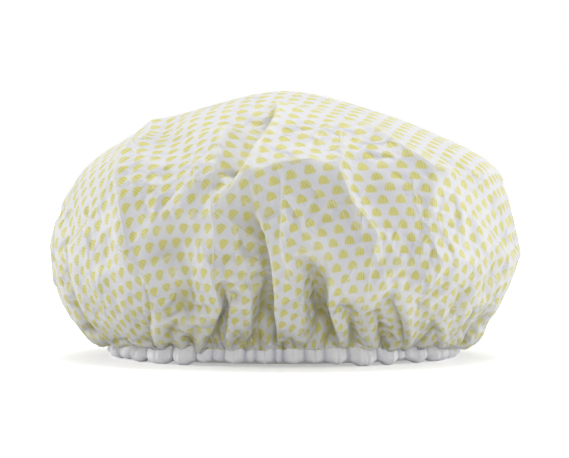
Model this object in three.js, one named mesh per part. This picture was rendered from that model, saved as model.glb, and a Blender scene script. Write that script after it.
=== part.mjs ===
// A shower cap: a disc of printed film and a waterproof lining, gathered into a dome and bound at
// the hem with a white strip that holds a loop of elastic. Millimetres, +Z up. The cap stands on
// its hem, and the origin is on the table under the middle of the cap. -Y is the brow side.
import * as THREE from "three";

// Overall sizes, to the outer faces.
const CAP_WIDTH = 260; // ear to ear, at the widest ring
const CAP_DEPTH = 220; // brow to nape, at the widest ring
const CAP_HEIGHT = 150; // hem to crown
const BELLY_HEIGHT = 60; // height of the widest ring
const HEM_WIDTH = 190; // ear to ear, over the binding
const HEM_DEPTH = 158; // brow to nape, over the binding

// Sheet goods and thread.
const FILM_THICK = 0.3;
const LINING_THICK = 0.3;
const BINDING_THICK = 0.5;
const ELASTIC_WIDTH = 6;
const ELASTIC_THICK = 0.8;
const ELASTIC_LAP = 20; // length of elastic sewn over itself
const THREAD_DIAMETER = 0.4;
const FIT_GAP = 0.3; // between layers that lie on each other

// The binding: a tunnel for the elastic below, and a narrow neck above that holds the films.
const NECK_TAPER = 1;
const NECK_HEIGHT = 4;
const BINDING_CHAMFER = 0.8;
const FILM_RISE = 1; // how far the films run straight up above the binding

// Gathers and the folds that run up from them, measured from crest to valley.
const GATHER_COUNT = 20;
const HEM_GATHER_DEPTH = 5;
const SKIRT_FOLD_DEPTH = 12; // where the film turns out over the hem
const BELLY_FOLD_DEPTH = 4;
const FOLD_TOP = 0.62; // share of the way from the belly to the crown where the folds have gone
const FOLD_VARIATION = 0.3; // share by which one fold is shallower than another
const FOLD_GROUPS = 4; // stretches of deep and shallow folds round the cap
const FLARE_START = 2.5; // how upright the films leave the binding
const FLARE_END = 56; // how fully they hang below the belly
const CROWN_SQUARENESS = 2.4; // exponents of the crown's outline
const CROWN_ROUNDNESS = 1.5;

// The main folds: how far each stands out of the smooth cap, or in where it is less than 0, its
// half width, and its route as angles in degrees and stations on the way up.
const MAIN_FOLDS = [
  { out: 6, half: 10, route: [[-112, 2.18], [-99, 2.27], [-72, 2.36]] }, // ridge over the brow
  { out: 5, half: 12, route: [[-57, 2.6], [-45, 2.36], [-36, 2.3]] }, // right shoulder
  { out: 4, half: 9, route: [[-72, 2.24], [-68, 2.12], [-72, 1.7]] }, // crest below the ridge
  { out: 4, half: 25, route: [[-12, 2.26], [14, 2.26]] }, // the fuller ear
  { out: 4, half: 12, route: [[-150, 2.36], [-135, 2.24], [-130, 2.1]] }, // left shoulder
  { out: 5, half: 11, route: [[-126, 2.62], [-116, 2.48], [-112, 2.36]] }, // left of the crown
  { out: -7, half: 12, route: [[-95, 2.74], [-101, 2.48], [-107, 2.38]] }, // hollow beside it
  { out: -5, half: 12, route: [[-168, 2.54], [-153, 2.48]] }, // hollow at the left
  { out: -10, half: 10, route: [[-104, 2.14], [-99, 1.9], [-99, 1.5]] }, // deep fold of the brow
  { out: -9, half: 10, route: [[-81, 1.94], [-81, 1.4]] }, // deep fold right of it
  { out: -4, half: 10, route: [[-63, 1.8], [-63, 1.6]] }, // pleat at the right
  { out: -5, half: 12, route: [[-117, 1.85], [-112, 1.7]] }, // pleats at the left
];

// Stitching.
const STITCHES_PER_GATHER = 4;
const STITCH_LIFT = 0.3; // how far a stitch stands off the cloth between its two holes
const ZIGZAG_POINTS = 7;
const ZIGZAG_MARGIN = 1.2; // from the zigzag to the edge of what it sews
const ZIGZAG_SIDES = 6;
const ZIGZAG_STEPS = 4; // sections along each leg of a zigzag
const BINDING_JOIN_WIDTH = 3; // how far the join's stitches reach to both sides of the butted ends

// Faceting.
const SAMPLES_PER_GATHER = 4;
const HEM_SAMPLES = GATHER_COUNT * SAMPLES_PER_GATHER;
const FLARE_ROWS = [0.2, 0.4, 0.6, 0.8, 1]; // stations on the way from the binding to the belly
const SHOULDER_ROWS = [0.12, 0.24, 0.36, 0.48, 0.6, 0.74]; // stations from the belly to the crown
const CROWN_ROWS = [0.88];
const DERIVATIVE_STEP = 1e-4;

// Heights in the binding.
const tunnelTop = BINDING_THICK + ELASTIC_WIDTH + 2 * FIT_GAP;
const neckBottom = tunnelTop + NECK_TAPER;
const bindingTop = neckBottom + NECK_HEIGHT;
const stitchHeight = neckBottom + NECK_HEIGHT / 2;
const neckTop = bindingTop + FILM_RISE;

// Distances out from the middle of the hem, where the two films lie face to face.
const filmOut = FIT_GAP / 2 + FILM_THICK; // outer face of the printed film
const liningIn = FIT_GAP / 2 + LINING_THICK; // inner face of the lining
const neckOut = filmOut + FIT_GAP;
const neckIn = liningIn + FIT_GAP;
const tunnelHalf = ELASTIC_THICK + 1.5 * FIT_GAP + THREAD_DIAMETER + FIT_GAP;
const hemOut = tunnelHalf + BINDING_THICK; // outer face of the binding

// Half axes of the ovals that the middle between the films follows, at the hem and at the belly.
const hemOval = { x: HEM_WIDTH / 2 - hemOut, y: HEM_DEPTH / 2 - hemOut };
const bellyOval = { x: CAP_WIDTH / 2 - filmOut, y: CAP_DEPTH / 2 - filmOut };
const crownHeight = CAP_HEIGHT - filmOut;

const BACK = Math.PI / 2; // angle of the nape, where strips and threads have their ends
const FULL_TURN = 2 * Math.PI;
const hemStep = FULL_TURN / HEM_SAMPLES;

// The way up a meridian is a number: 0 to 1 in the binding, 1 to 2 out to the belly and 2 to 3 up
// to the crown. The flare leaves the binding upright and reaches the belly upright.
const flare = new THREE.CubicBezierCurve(
  new THREE.Vector2(0, neckTop),
  new THREE.Vector2(0, neckTop + FLARE_START),
  new THREE.Vector2(1, BELLY_HEIGHT - FLARE_END),
  new THREE.Vector2(1, BELLY_HEIGHT),
);

// Half axes and height of the smooth oval at one station of the meridian.
function ovalAt(way) {
  if (way <= 1) {
    return { ...hemOval, z: THREE.MathUtils.lerp(neckBottom, neckTop, way) };
  }
  if (way <= 2) {
    const at = flare.getPoint(way - 1);
    return {
      x: THREE.MathUtils.lerp(hemOval.x, bellyOval.x, at.x),
      y: THREE.MathUtils.lerp(hemOval.y, bellyOval.y, at.x),
      z: at.y,
    };
  }
  const turn = ((way - 2) * Math.PI) / 2;
  const reach = Math.cos(turn) ** (2 / CROWN_ROUNDNESS);
  const rise = Math.sin(turn) ** (2 / CROWN_SQUARENESS);
  return {
    x: bellyOval.x * reach,
    y: bellyOval.y * reach,
    z: THREE.MathUtils.lerp(BELLY_HEIGHT, crownHeight, rise),
  };
}

function smoothPoint(angle, way) {
  const oval = ovalAt(way);
  return new THREE.Vector3(oval.x * Math.cos(angle), oval.y * Math.sin(angle), oval.z);
}

// The outward normal of a surface given by a function of angle and way.
function normalOf(surface, angle, way) {
  const low = Math.max(0, way - DERIVATIVE_STEP);
  const high = Math.min(3 - DERIVATIVE_STEP, way + DERIVATIVE_STEP);
  const round = surface(angle + DERIVATIVE_STEP, low).sub(surface(angle - DERIVATIVE_STEP, low));
  const up = surface(angle, high).sub(surface(angle, low));
  return round.cross(up).normalize();
}

// How deep the valleys are at one station, from crest to valley.
function foldDepth(angle, way) {
  const uneven = 1 - (FOLD_VARIATION * (1 - Math.cos(FOLD_GROUPS * angle))) / 2;
  if (way <= 1) {
    return HEM_GATHER_DEPTH;
  }
  if (way <= 2) {
    const share = way - 1;
    const turned = THREE.MathUtils.smoothstep(share, 0, FLARE_ROWS[0]);
    const skirt = THREE.MathUtils.lerp(SKIRT_FOLD_DEPTH, BELLY_FOLD_DEPTH, share) * uneven;
    return THREE.MathUtils.lerp(HEM_GATHER_DEPTH, skirt, turned);
  }
  return BELLY_FOLD_DEPTH * uneven * (1 - THREE.MathUtils.smoothstep(way - 2, 0, FOLD_TOP));
}

// The main folds' routes on the smooth cap.
const mainFolds = MAIN_FOLDS.map(({ out, half, route }) => {
  const points = route.map(([degrees, way]) => smoothPoint(THREE.MathUtils.degToRad(degrees), way));
  const spans = points.slice(1).map((end, i) => new THREE.Line3(points[i], end));
  return { out, half, spans };
});

// How far the main folds lift a place of the smooth cap. A fold dies away to both sides.
function mainLift(place) {
  const nearest = new THREE.Vector3();
  return mainFolds.reduce((lift, { out, half, spans }) => {
    const away = spans.map((span) => span.closestPointToPoint(place, true, nearest).distanceTo(place));
    return lift + out * Math.exp(-((Math.min(...away) / half) ** 2));
  }, 0);
}

// The gathered surface that the two films lie against, one on each side. In the binding it has its
// gathers alone. In the binding and at the belly the crests lie on the oval, and between them half
// of each fold stands out of it.
function foldedPoint(angle, way) {
  const place = smoothPoint(angle, way);
  const free = THREE.MathUtils.smoothstep(way, 1, 1 + FLARE_ROWS[0]);
  const valley = (1 - Math.cos(GATHER_COUNT * angle)) / 2;
  const proud = way > 1 ? Math.sin(Math.PI * way) ** 2 / 2 : 0;
  const lift = free * mainLift(place) + foldDepth(angle, way) * (proud - valley);
  return place.addScaledVector(normalOf(smoothPoint, angle, way), lift);
}

function solidFrom(points, triangles) {
  const geometry = new THREE.BufferGeometry().setFromPoints(points);
  geometry.setIndex(triangles.flat());
  geometry.computeVertexNormals();
  return geometry;
}

// Triangles between two rings, where the upper one has as many points as the lower or half of them.
function bandBetween(lower, upper) {
  const triangles = [];
  const halved = lower.length > upper.length;
  upper.forEach((a, i) => {
    const b = upper[(i + 1) % upper.length];
    if (halved) {
      const [c, d, e] = [2 * i, 2 * i + 1, 2 * i + 2].map((k) => lower[k % lower.length]);
      triangles.push([c, d, a], [d, b, a], [d, e, b]);
    } else {
      const [c, d] = [lower[i], lower[(i + 1) % lower.length]];
      triangles.push([c, d, b], [c, b, a]);
    }
  });
  return triangles;
}

// Stations of a film from its raw edge to just below the crown, with the points round each.
const filmRows = [
  { way: 0, count: HEM_SAMPLES },
  { way: 1, count: HEM_SAMPLES },
  ...FLARE_ROWS.map((share) => ({ way: 1 + share, count: HEM_SAMPLES / 2 })),
  ...SHOULDER_ROWS.map((share) => ({ way: 2 + share, count: HEM_SAMPLES / 2 })),
  ...CROWN_ROWS.map((share) => ({ way: 2 + share, count: HEM_SAMPLES / 4 })),
];

// One film: a closed shell between two distances out from the folded surface.
function filmGeometry(innerFace, outerFace) {
  const points = [];
  const triangles = [];
  const sides = [outerFace, innerFace].map((distance) => {
    const rings = filmRows.map(({ way, count }) =>
      Array.from({ length: count }, (_, i) => {
        const angle = (i / count) * FULL_TURN;
        const normal = normalOf(foldedPoint, angle, way);
        points.push(foldedPoint(angle, way).addScaledVector(normal, distance));
        return points.length - 1;
      }),
    );
    points.push(new THREE.Vector3(0, 0, crownHeight + distance));
    const pole = points.length - 1;
    const top = rings.at(-1);
    const faces = rings.slice(1).flatMap((ring, i) => bandBetween(rings[i], ring));
    top.forEach((a, i) => faces.push([a, top[(i + 1) % top.length], pole]));
    return { edge: rings[0], faces };
  });
  const [outer, inner] = sides;
  triangles.push(...outer.faces, ...inner.faces.map(([a, b, c]) => [a, c, b]));
  triangles.push(...bandBetween(inner.edge, outer.edge));
  return solidFrom(points, triangles);
}

// A place on the middle line of the hem: its point at table height and its outward direction.
// Between the samples that the films use, the line is straight, as the films' facets are.
function hemPlace(angle) {
  const sample = (k) => {
    const at = foldedPoint(k * hemStep, 0).setZ(0);
    const out = normalOf(foldedPoint, k * hemStep, 0).setZ(0).normalize();
    return { at, out };
  };
  const before = Math.floor(angle / hemStep + DERIVATIVE_STEP);
  const share = angle / hemStep - before;
  const [a, b] = [sample(before), sample(before + 1)];
  return { at: a.at.lerp(b.at, share), out: a.out.lerp(b.out, share) };
}

// A point that lies out from the hem's middle line and up from the table.
function hemPoint(angle, out, height) {
  const place = hemPlace(angle);
  return place.at.addScaledVector(place.out, out).setZ(height);
}

// A strip or thread that runs along the hem, with two ends. Each station has an angle and its own
// section: points out from the hem's middle line and up from the table, listed clockwise.
function alongHem(stations) {
  const points = [];
  const rings = stations.map(({ angle, section }) =>
    section.map(({ x, y }) => points.push(hemPoint(angle, x, y)) - 1),
  );
  const triangles = rings.slice(1).flatMap((ring, i) => bandBetween(rings[i], ring));
  const cap = THREE.ShapeUtils.triangulateShape(stations[0].section, []);
  triangles.push(...cap.map((face) => face.map((k) => rings[0][k])));
  triangles.push(...cap.map(([a, b, c]) => [a, c, b].map((k) => rings.at(-1)[k])));
  return solidFrom(points, triangles);
}

// Angles from one end to the other of what runs along the hem: the ends themselves, and between
// them every angle that is a whole number of steps.
function anglesAlong(start, end, step) {
  const first = Math.floor(start / step + DERIVATIVE_STEP) + 1;
  const last = Math.ceil(end / step - DERIVATIVE_STEP) - 1;
  const between = Array.from({ length: last - first + 1 }, (_, i) => (first + i) * step);
  return [start, ...between, end];
}

// The same, for what runs once round from the nape to the nape with a gap between its ends.
function turnFromBack(endGap, step) {
  const clear = endGap / 2 / (hemOval.x - hemOut);
  return anglesAlong(BACK + clear, BACK + FULL_TURN - clear, step);
}

// The binding's section: a folded strip whose legs are wide apart round the elastic and close
// together at the neck. It is flat underneath, where the cap stands.
function bindingSection() {
  const outside = [
    [hemOut - BINDING_CHAMFER, 0],
    [hemOut, BINDING_CHAMFER],
    [hemOut, tunnelTop],
    [neckOut + BINDING_THICK, neckBottom],
    [neckOut + BINDING_THICK, bindingTop],
    [neckOut, bindingTop],
    [neckOut, neckBottom],
    [tunnelHalf, tunnelTop],
    [tunnelHalf, BINDING_THICK],
  ];
  const inside = [
    [-tunnelHalf, BINDING_THICK],
    [-tunnelHalf, tunnelTop],
    [-neckIn, neckBottom],
    [-neckIn, bindingTop],
    [-neckIn - BINDING_THICK, bindingTop],
    [-neckIn - BINDING_THICK, neckBottom],
    [-hemOut, tunnelTop],
    [-hemOut, BINDING_CHAMFER],
    [BINDING_CHAMFER - hemOut, 0],
  ];
  return [...outside, ...inside].map(([x, y]) => new THREE.Vector2(x, y)).reverse();
}

function bindingGeometry() {
  const section = bindingSection();
  return alongHem(turnFromBack(FIT_GAP, hemStep).map((angle) => ({ angle, section })));
}

// The elastic winds outwards by its own thickness in one turn, so that its last stretch lies on
// its first.
const elasticStep = ELASTIC_THICK + FIT_GAP;
const elasticBottom = BINDING_THICK + FIT_GAP;
const hemLength = Math.PI * (hemOval.x + hemOval.y);
const lapAngle = (ELASTIC_LAP / hemLength) * FULL_TURN;

function elasticGeometry() {
  const start = BACK - lapAngle / 2;
  const end = BACK + FULL_TURN + lapAngle / 2;
  const stations = anglesAlong(start, end, hemStep).map((angle) => {
    const middle = elasticStep * ((angle - BACK) / FULL_TURN - 0.5);
    const [low, high] = [middle - ELASTIC_THICK / 2, middle + ELASTIC_THICK / 2];
    const corners = [
      [low, elasticBottom],
      [low, elasticBottom + ELASTIC_WIDTH],
      [high, elasticBottom + ELASTIC_WIDTH],
      [high, elasticBottom],
    ];
    return { angle, section: corners.map(([x, y]) => new THREE.Vector2(x, y)) };
  });
  return alongHem(stations);
}

// One thread of the lockstitch round the neck, on the side of the cloth that the sign tells. It
// lies close at each needle hole and stands off a little between two holes.
function hemThreadGeometry(face, sign) {
  const step = FULL_TURN / (GATHER_COUNT * STITCHES_PER_GATHER * 2);
  const radius = THREAD_DIAMETER / 2;
  const stations = turnFromBack(2 * THREAD_DIAMETER, step).map((angle, i) => {
    const lift = i % 2 ? STITCH_LIFT : 0;
    const out = sign * (face + FIT_GAP + radius + lift);
    const corners = [
      [out - radius, stitchHeight],
      [out, stitchHeight + radius],
      [out + radius, stitchHeight],
      [out, stitchHeight - radius],
    ];
    return { angle, section: corners.map(([x, y]) => new THREE.Vector2(x, y)) };
  });
  return alongHem(stations);
}

// A round thread that zigzags over a join at the nape.
function zigzagGeometry(halfAngle, out, low, high) {
  const corners = Array.from({ length: ZIGZAG_POINTS }, (_, i) => {
    const angle = BACK + halfAngle * ((2 * i) / (ZIGZAG_POINTS - 1) - 1);
    return hemPoint(angle, out, i % 2 ? high : low);
  });
  const path = new THREE.CatmullRomCurve3(corners);
  const round = Array.from({ length: ZIGZAG_SIDES }, (_, i) => {
    const turn = (i / ZIGZAG_SIDES) * FULL_TURN;
    return new THREE.Vector2(Math.cos(turn), Math.sin(turn)).multiplyScalar(THREAD_DIAMETER / 2);
  });
  return new THREE.ExtrudeGeometry(new THREE.Shape(round), {
    extrudePath: path,
    steps: ZIGZAG_STEPS * (ZIGZAG_POINTS - 1),
  });
}

function elasticJoinGeometry() {
  const face = elasticStep / 2 + ELASTIC_THICK / 2;
  const out = face + FIT_GAP + THREAD_DIAMETER / 2;
  const inset = ZIGZAG_MARGIN + THREAD_DIAMETER / 2;
  const halfAngle = (lapAngle / 2) * (1 - (2 * inset) / ELASTIC_LAP);
  return zigzagGeometry(halfAngle, out, elasticBottom + inset, elasticBottom + ELASTIC_WIDTH - inset);
}

function bindingJoinGeometry() {
  const out = hemOut + FIT_GAP + THREAD_DIAMETER / 2;
  const inset = ZIGZAG_MARGIN + THREAD_DIAMETER / 2;
  const halfAngle = (BINDING_JOIN_WIDTH / hemLength) * FULL_TURN;
  return zigzagGeometry(halfAngle, out, inset, tunnelTop - inset);
}

function piece(name, geometry, color, roughness) {
  const material = new THREE.MeshStandardMaterial({ color, roughness, metalness: 0 });
  const mesh = new THREE.Mesh(geometry, material);
  mesh.name = name;
  return mesh;
}

const neckFace = { outside: neckOut + BINDING_THICK, inside: neckIn + BINDING_THICK };
const cap = new THREE.Group();
cap.add(
  piece("outer_shell", filmGeometry(FIT_GAP / 2, filmOut), 0xe6e3c6, 0.45),
  piece("waterproof_lining", filmGeometry(-liningIn, -FIT_GAP / 2), 0xe9ecf0, 0.35),
  piece("hem_binding", bindingGeometry(), 0xe4e4ea, 0.6),
  piece("elastic_band", elasticGeometry(), 0xf0efea, 0.85),
  piece("hem_needle_thread", hemThreadGeometry(neckFace.outside, 1), 0xf4f4f4, 0.7),
  piece("hem_bobbin_thread", hemThreadGeometry(neckFace.inside, -1), 0xf4f4f4, 0.7),
  piece("elastic_join_thread", elasticJoinGeometry(), 0xf4f4f4, 0.7),
  piece("binding_join_thread", bindingJoinGeometry(), 0xf4f4f4, 0.7),
);

export default cap;
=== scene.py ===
"""Shower cap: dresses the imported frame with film, lining, binding, elastic and thread.

Lengths are millimetres until a mesh is made, and every mesh is in metres. The brow of the cap
faces -Y, the nape +Y, and the hem stands on z = 0.
"""

import logging
import math
from dataclasses import dataclass, field
from enum import Enum
from functools import cache

import bpy
import numpy as np
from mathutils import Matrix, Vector

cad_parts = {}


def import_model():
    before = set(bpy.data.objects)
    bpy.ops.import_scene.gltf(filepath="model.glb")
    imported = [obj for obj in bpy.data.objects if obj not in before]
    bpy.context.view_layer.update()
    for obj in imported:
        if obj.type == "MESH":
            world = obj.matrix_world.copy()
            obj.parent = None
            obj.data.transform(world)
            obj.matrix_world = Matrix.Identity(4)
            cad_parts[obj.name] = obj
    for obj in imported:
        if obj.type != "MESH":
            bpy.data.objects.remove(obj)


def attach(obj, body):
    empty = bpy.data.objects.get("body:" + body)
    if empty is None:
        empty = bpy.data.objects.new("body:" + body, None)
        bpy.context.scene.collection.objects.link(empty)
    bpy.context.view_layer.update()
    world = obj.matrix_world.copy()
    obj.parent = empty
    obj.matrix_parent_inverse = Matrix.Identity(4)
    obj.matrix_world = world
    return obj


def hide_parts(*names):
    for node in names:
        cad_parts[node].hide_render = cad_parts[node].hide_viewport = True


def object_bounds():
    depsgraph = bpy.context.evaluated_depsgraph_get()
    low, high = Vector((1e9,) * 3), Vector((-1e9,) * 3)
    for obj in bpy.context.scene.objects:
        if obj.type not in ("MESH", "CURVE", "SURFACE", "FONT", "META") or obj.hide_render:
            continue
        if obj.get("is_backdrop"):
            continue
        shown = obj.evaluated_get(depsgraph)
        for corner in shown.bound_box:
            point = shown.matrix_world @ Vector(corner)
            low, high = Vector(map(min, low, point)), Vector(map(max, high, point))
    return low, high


LOG = logging.getLogger("shower_cap")
MM = 0.001
BODY = "root"
FULL_TURN = 2 * math.pi
TINY = 1e-9
FAR = 1e6
WHITE = (1.0, 1.0, 1.0, 1.0)
Values = float | np.ndarray
Span = tuple[float, float]
Pairs = tuple[tuple[float, float], ...]
Colour = tuple[float, float, float, float]
Socket = bpy.types.NodeSocket
NodeTree = bpy.types.NodeTree
Node = bpy.types.Node
Material = bpy.types.Material
Piece = bpy.types.Object


def at_pairs(where: np.ndarray, pairs: Pairs) -> np.ndarray:
    """Values at places, read off straight lines between pairs of a place and a value."""
    return np.interp(where, *np.array(pairs).T)


class FoldKind(Enum):
    """Which way a fold of the film stands."""

    RIDGE = "ridge"
    VALLEY = "valley"
    LAP = "lap"


RIDGE, VALLEY, LAP = FoldKind


class StripSide(Enum):
    """Which face of the strip is meant."""

    OUTSIDE = "outside"
    INSIDE = "inside"


class Slot(Enum):
    """The record's material slots."""

    PRINTED_FILM = "printed_film"
    LINING_FILM = "lining_film"
    BINDING_CLOTH = "binding_cloth"
    ELASTIC = "elastic"
    THREAD = "thread"


@dataclass(frozen=True)
class BrowView:
    """The camera in front of the brow, and the plane through the cap that it looks at.

    Lengths are in millimetres, the elevation in degrees and clip_end in metres. The plane goes
    through the aim, and plane_width is the picture's width on it.
    """

    elevation: float = 2.0
    distance: float = 1500.0
    aim_up: float = 71.5
    plane_width: float = 321.0
    sensor: float = 36.0
    clip_end: float = 20.0

    def axes(self) -> tuple[np.ndarray, np.ndarray]:
        """Returns the directions into the picture and up it."""
        tilt = math.radians(self.elevation)
        ahead = np.array([0.0, math.cos(tilt), -math.sin(tilt)])
        up = np.array([0.0, math.sin(tilt), math.cos(tilt)])
        return ahead, up

    def seen(self, points: np.ndarray) -> np.ndarray:
        """Where points appear on the plane through the aim.

        Args:
            points: places in millimetres, xyz on the last axis.

        Returns:
            How far right and up of the aim each one appears, in millimetres on that plane.
        """
        ahead, up = self.axes()
        rel = points - np.array([0.0, 0.0, self.aim_up])
        scale = self.distance / (self.distance + rel @ ahead)
        return np.stack([rel[..., 0] * scale, rel @ up * scale], -1)

    def place_camera(self) -> None:
        """Adds the scene's camera."""
        ahead, _ = self.axes()
        aim = Vector((0.0, 0.0, self.aim_up * MM))
        bpy.ops.object.camera_add(location=aim - Vector(ahead) * self.distance * MM)
        camera = bpy.context.object
        camera.name = "brow_camera"
        camera.rotation_euler = Vector(ahead).to_track_quat("-Z", "Y").to_euler()
        camera.data.sensor_width = self.sensor
        camera.data.lens = self.sensor * self.distance / self.plane_width
        camera.data.clip_end = self.clip_end
        bpy.context.scene.camera = camera


@dataclass(frozen=True)
class Fold:
    """One fold of the film on the brow side, along a route seen from the camera.

    Attributes:
        kind: whether it stands out, sinks in, or laps: a ridge that drops sharply to the right of
            its route, looking along it.
        depth: how far, in millimetres.
        width: its half width on the flat film, in millimetres.
        route: points right and up of the camera's aim, in millimetres.
        to_hem: whether it runs on into the hem, or fades out at both ends.
        highlit: whether a thin pale line is painted along it, a painted highlight on its crease.
    """

    kind: FoldKind
    depth: float
    width: float
    route: Pairs
    to_hem: bool = False
    highlit: bool = False


SHOULDER_FOLDS = (
    Fold(RIDGE, 7.0, 9.0, ((-40, 18), (-32, 23), (-16, 31), (-2, 36), (8, 39), (28, 41)), highlit=True),
    Fold(LAP, 9.0, 15.0, ((-4, 74), (-6, 60), (-16, 43), (-23, 33), (-36, 21)), highlit=True),
    Fold(VALLEY, 7.0, 9.0, ((-10, 70), (-23, 50), (-37, 27))),
    Fold(RIDGE, 6.0, 9.0, ((-34, 63), (-38, 50), (-43, 26)), highlit=True),
    Fold(VALLEY, 6.0, 10.0, ((-72, 64), (-64, 48), (-60, 24))),
    Fold(RIDGE, 2.0, 4.0, ((-55, 48), (-53, 36), (-52, 24)), highlit=True),
    Fold(RIDGE, 3.0, 7.0, ((14, 50), (27, 60), (39, 62)), highlit=True),
    Fold(RIDGE, 6.0, 9.0, ((34, 64), (50, 56), (65, 47), (82, 37), (100, 34)), highlit=True),
    Fold(RIDGE, 3.0, 12.0, ((80, 37), (83, 5), (82, -29))),
    Fold(RIDGE, 5.0, 9.0, ((-66, 61), (-80, 52), (-92, 43), (-93, 20), (-90, -2)), highlit=True),
)
CREST_FOLDS = (
    Fold(
        RIDGE, 4.5, 6.0, ((33, 57), (31, 36), (38, 22), (53, 6), (50, -13), (46, -46), (46, -65)), highlit=True,
    ),
    Fold(RIDGE, 2.5, 5.0, ((53, 6), (56, -2), (57, -12)), highlit=True),
    Fold(VALLEY, 3.5, 8.0, ((41, 46), (47, 25), (62, 4), (60, -20))),
    Fold(RIDGE, 4.0, 6.0, ((0, 30), (0, -8), (7, -38), (11, -64)), highlit=True),
    Fold(RIDGE, 2.5, 4.5, ((43, -14), (37, -26), (35, -36)), highlit=True),
    Fold(RIDGE, 3.5, 4.5, ((-42, 28), (-41, 4), (-43, -8)), highlit=True),
    Fold(RIDGE, 3.0, 4.5, ((-40, 14), (-26, 0), (-16, -8)), highlit=True),
    Fold(RIDGE, 3.0, 6.0, ((-97, -3), (-90, -9), (-80, -20)), highlit=True),
    Fold(RIDGE, 2.5, 7.0, ((124, -12), (118, -26), (113, -44)), highlit=True),
    Fold(RIDGE, 2.0, 6.0, ((112, -13), (103, -37), (95, -57))),
    Fold(RIDGE, 2.0, 5.0, ((97, -40), (90, -60)), highlit=True),
    Fold(RIDGE, 3.0, 5.0, ((62, -18), (55, -30), (49, -42)), highlit=True),
)
PLEAT_FOLDS = (
    Fold(VALLEY, 14.0, 12.0, ((-30, 21), (-21, 4), (-16, -17), (-15, -44), (-11, -68)), to_hem=True),
    Fold(
        LAP, 10.0, 13.0, ((-23, 17), (-15, 9), (-9, -4), (-7, -18), (-6, -40), (-3, -66)),
        to_hem=True, highlit=True,
    ),
    Fold(VALLEY, 14.0, 10.0, ((17, -8), (20, -40), (20, -68)), to_hem=True),
    Fold(LAP, 9.0, 12.0, ((27, -12), (29, -40), (30, -66)), to_hem=True, highlit=True),
    Fold(LAP, 5.5, 8.0, ((-41, -66), (-41, -44), (-44, -25), (-43, -8)), highlit=True),
    Fold(VALLEY, 10.0, 5.0, ((-39, -22), (-39, -44), (-40, -68)), to_hem=True),
    Fold(LAP, 4.5, 7.0, ((-34, -36), (-33, -52), (-29, -66)), to_hem=True, highlit=True),
    Fold(LAP, 5.0, 7.0, ((-27, -28), (-24, -50), (-18, -64)), to_hem=True, highlit=True),
    Fold(VALLEY, 10.0, 14.0, ((-66, 10), (-62, -18), (-60, -50))),
    Fold(VALLEY, 5.0, 6.0, ((-62, -44), (-61, -68)), to_hem=True),
    Fold(LAP, 6.5, 10.0, ((-84, -14), (-79, -29), (-76, -44), (-68, -66)), to_hem=True, highlit=True),
    Fold(VALLEY, 5.0, 4.5, ((-52, -48), (-52, -68)), to_hem=True),
    Fold(VALLEY, 9.0, 4.5, ((38, -34), (38, -68)), to_hem=True),
    Fold(VALLEY, 6.0, 4.5, ((54, -38), (53, -68)), to_hem=True),
    Fold(LAP, 6.5, 9.0, ((66, -24), (65, -36), (64, -66)), to_hem=True, highlit=True),
    Fold(LAP, 4.0, 7.0, ((84, -44), (83, -68)), to_hem=True),
)


@dataclass(frozen=True)
class FoldProfile:
    """How the folds of each kind run across the film.

    Attributes:
        fade: share of a fold's length over which an end fades out.
        least_cells: least half width of a fold, in cells of the grid.
        lap_edge: width of a lap's sharp drop.
        lap_cells: least width of that drop, in cells of the grid.
        lap_under: how far the film under a lap sinks, as a share of the lap's height.
        ridge_round: how round a ridge's crest is.
        pleat_top: width and depth of a pleat at its top, as a share of its own.
        pleat_foot: the same at the hem.
        pleat_side: how wide a pleat's sloping side is, in half widths.
        pleat_round: how round a pleat's bottom is.
    """

    fade: float = 0.2
    least_cells: float = 0.8
    lap_edge: float = 1.2
    lap_cells: float = 0.5
    lap_under: float = 0.7
    ridge_round: float = 0.02
    pleat_top: float = 0.45
    pleat_foot: float = 1.2
    pleat_side: float = 1.5
    pleat_round: float = 0.01


PROFILE = FoldProfile()


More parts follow.
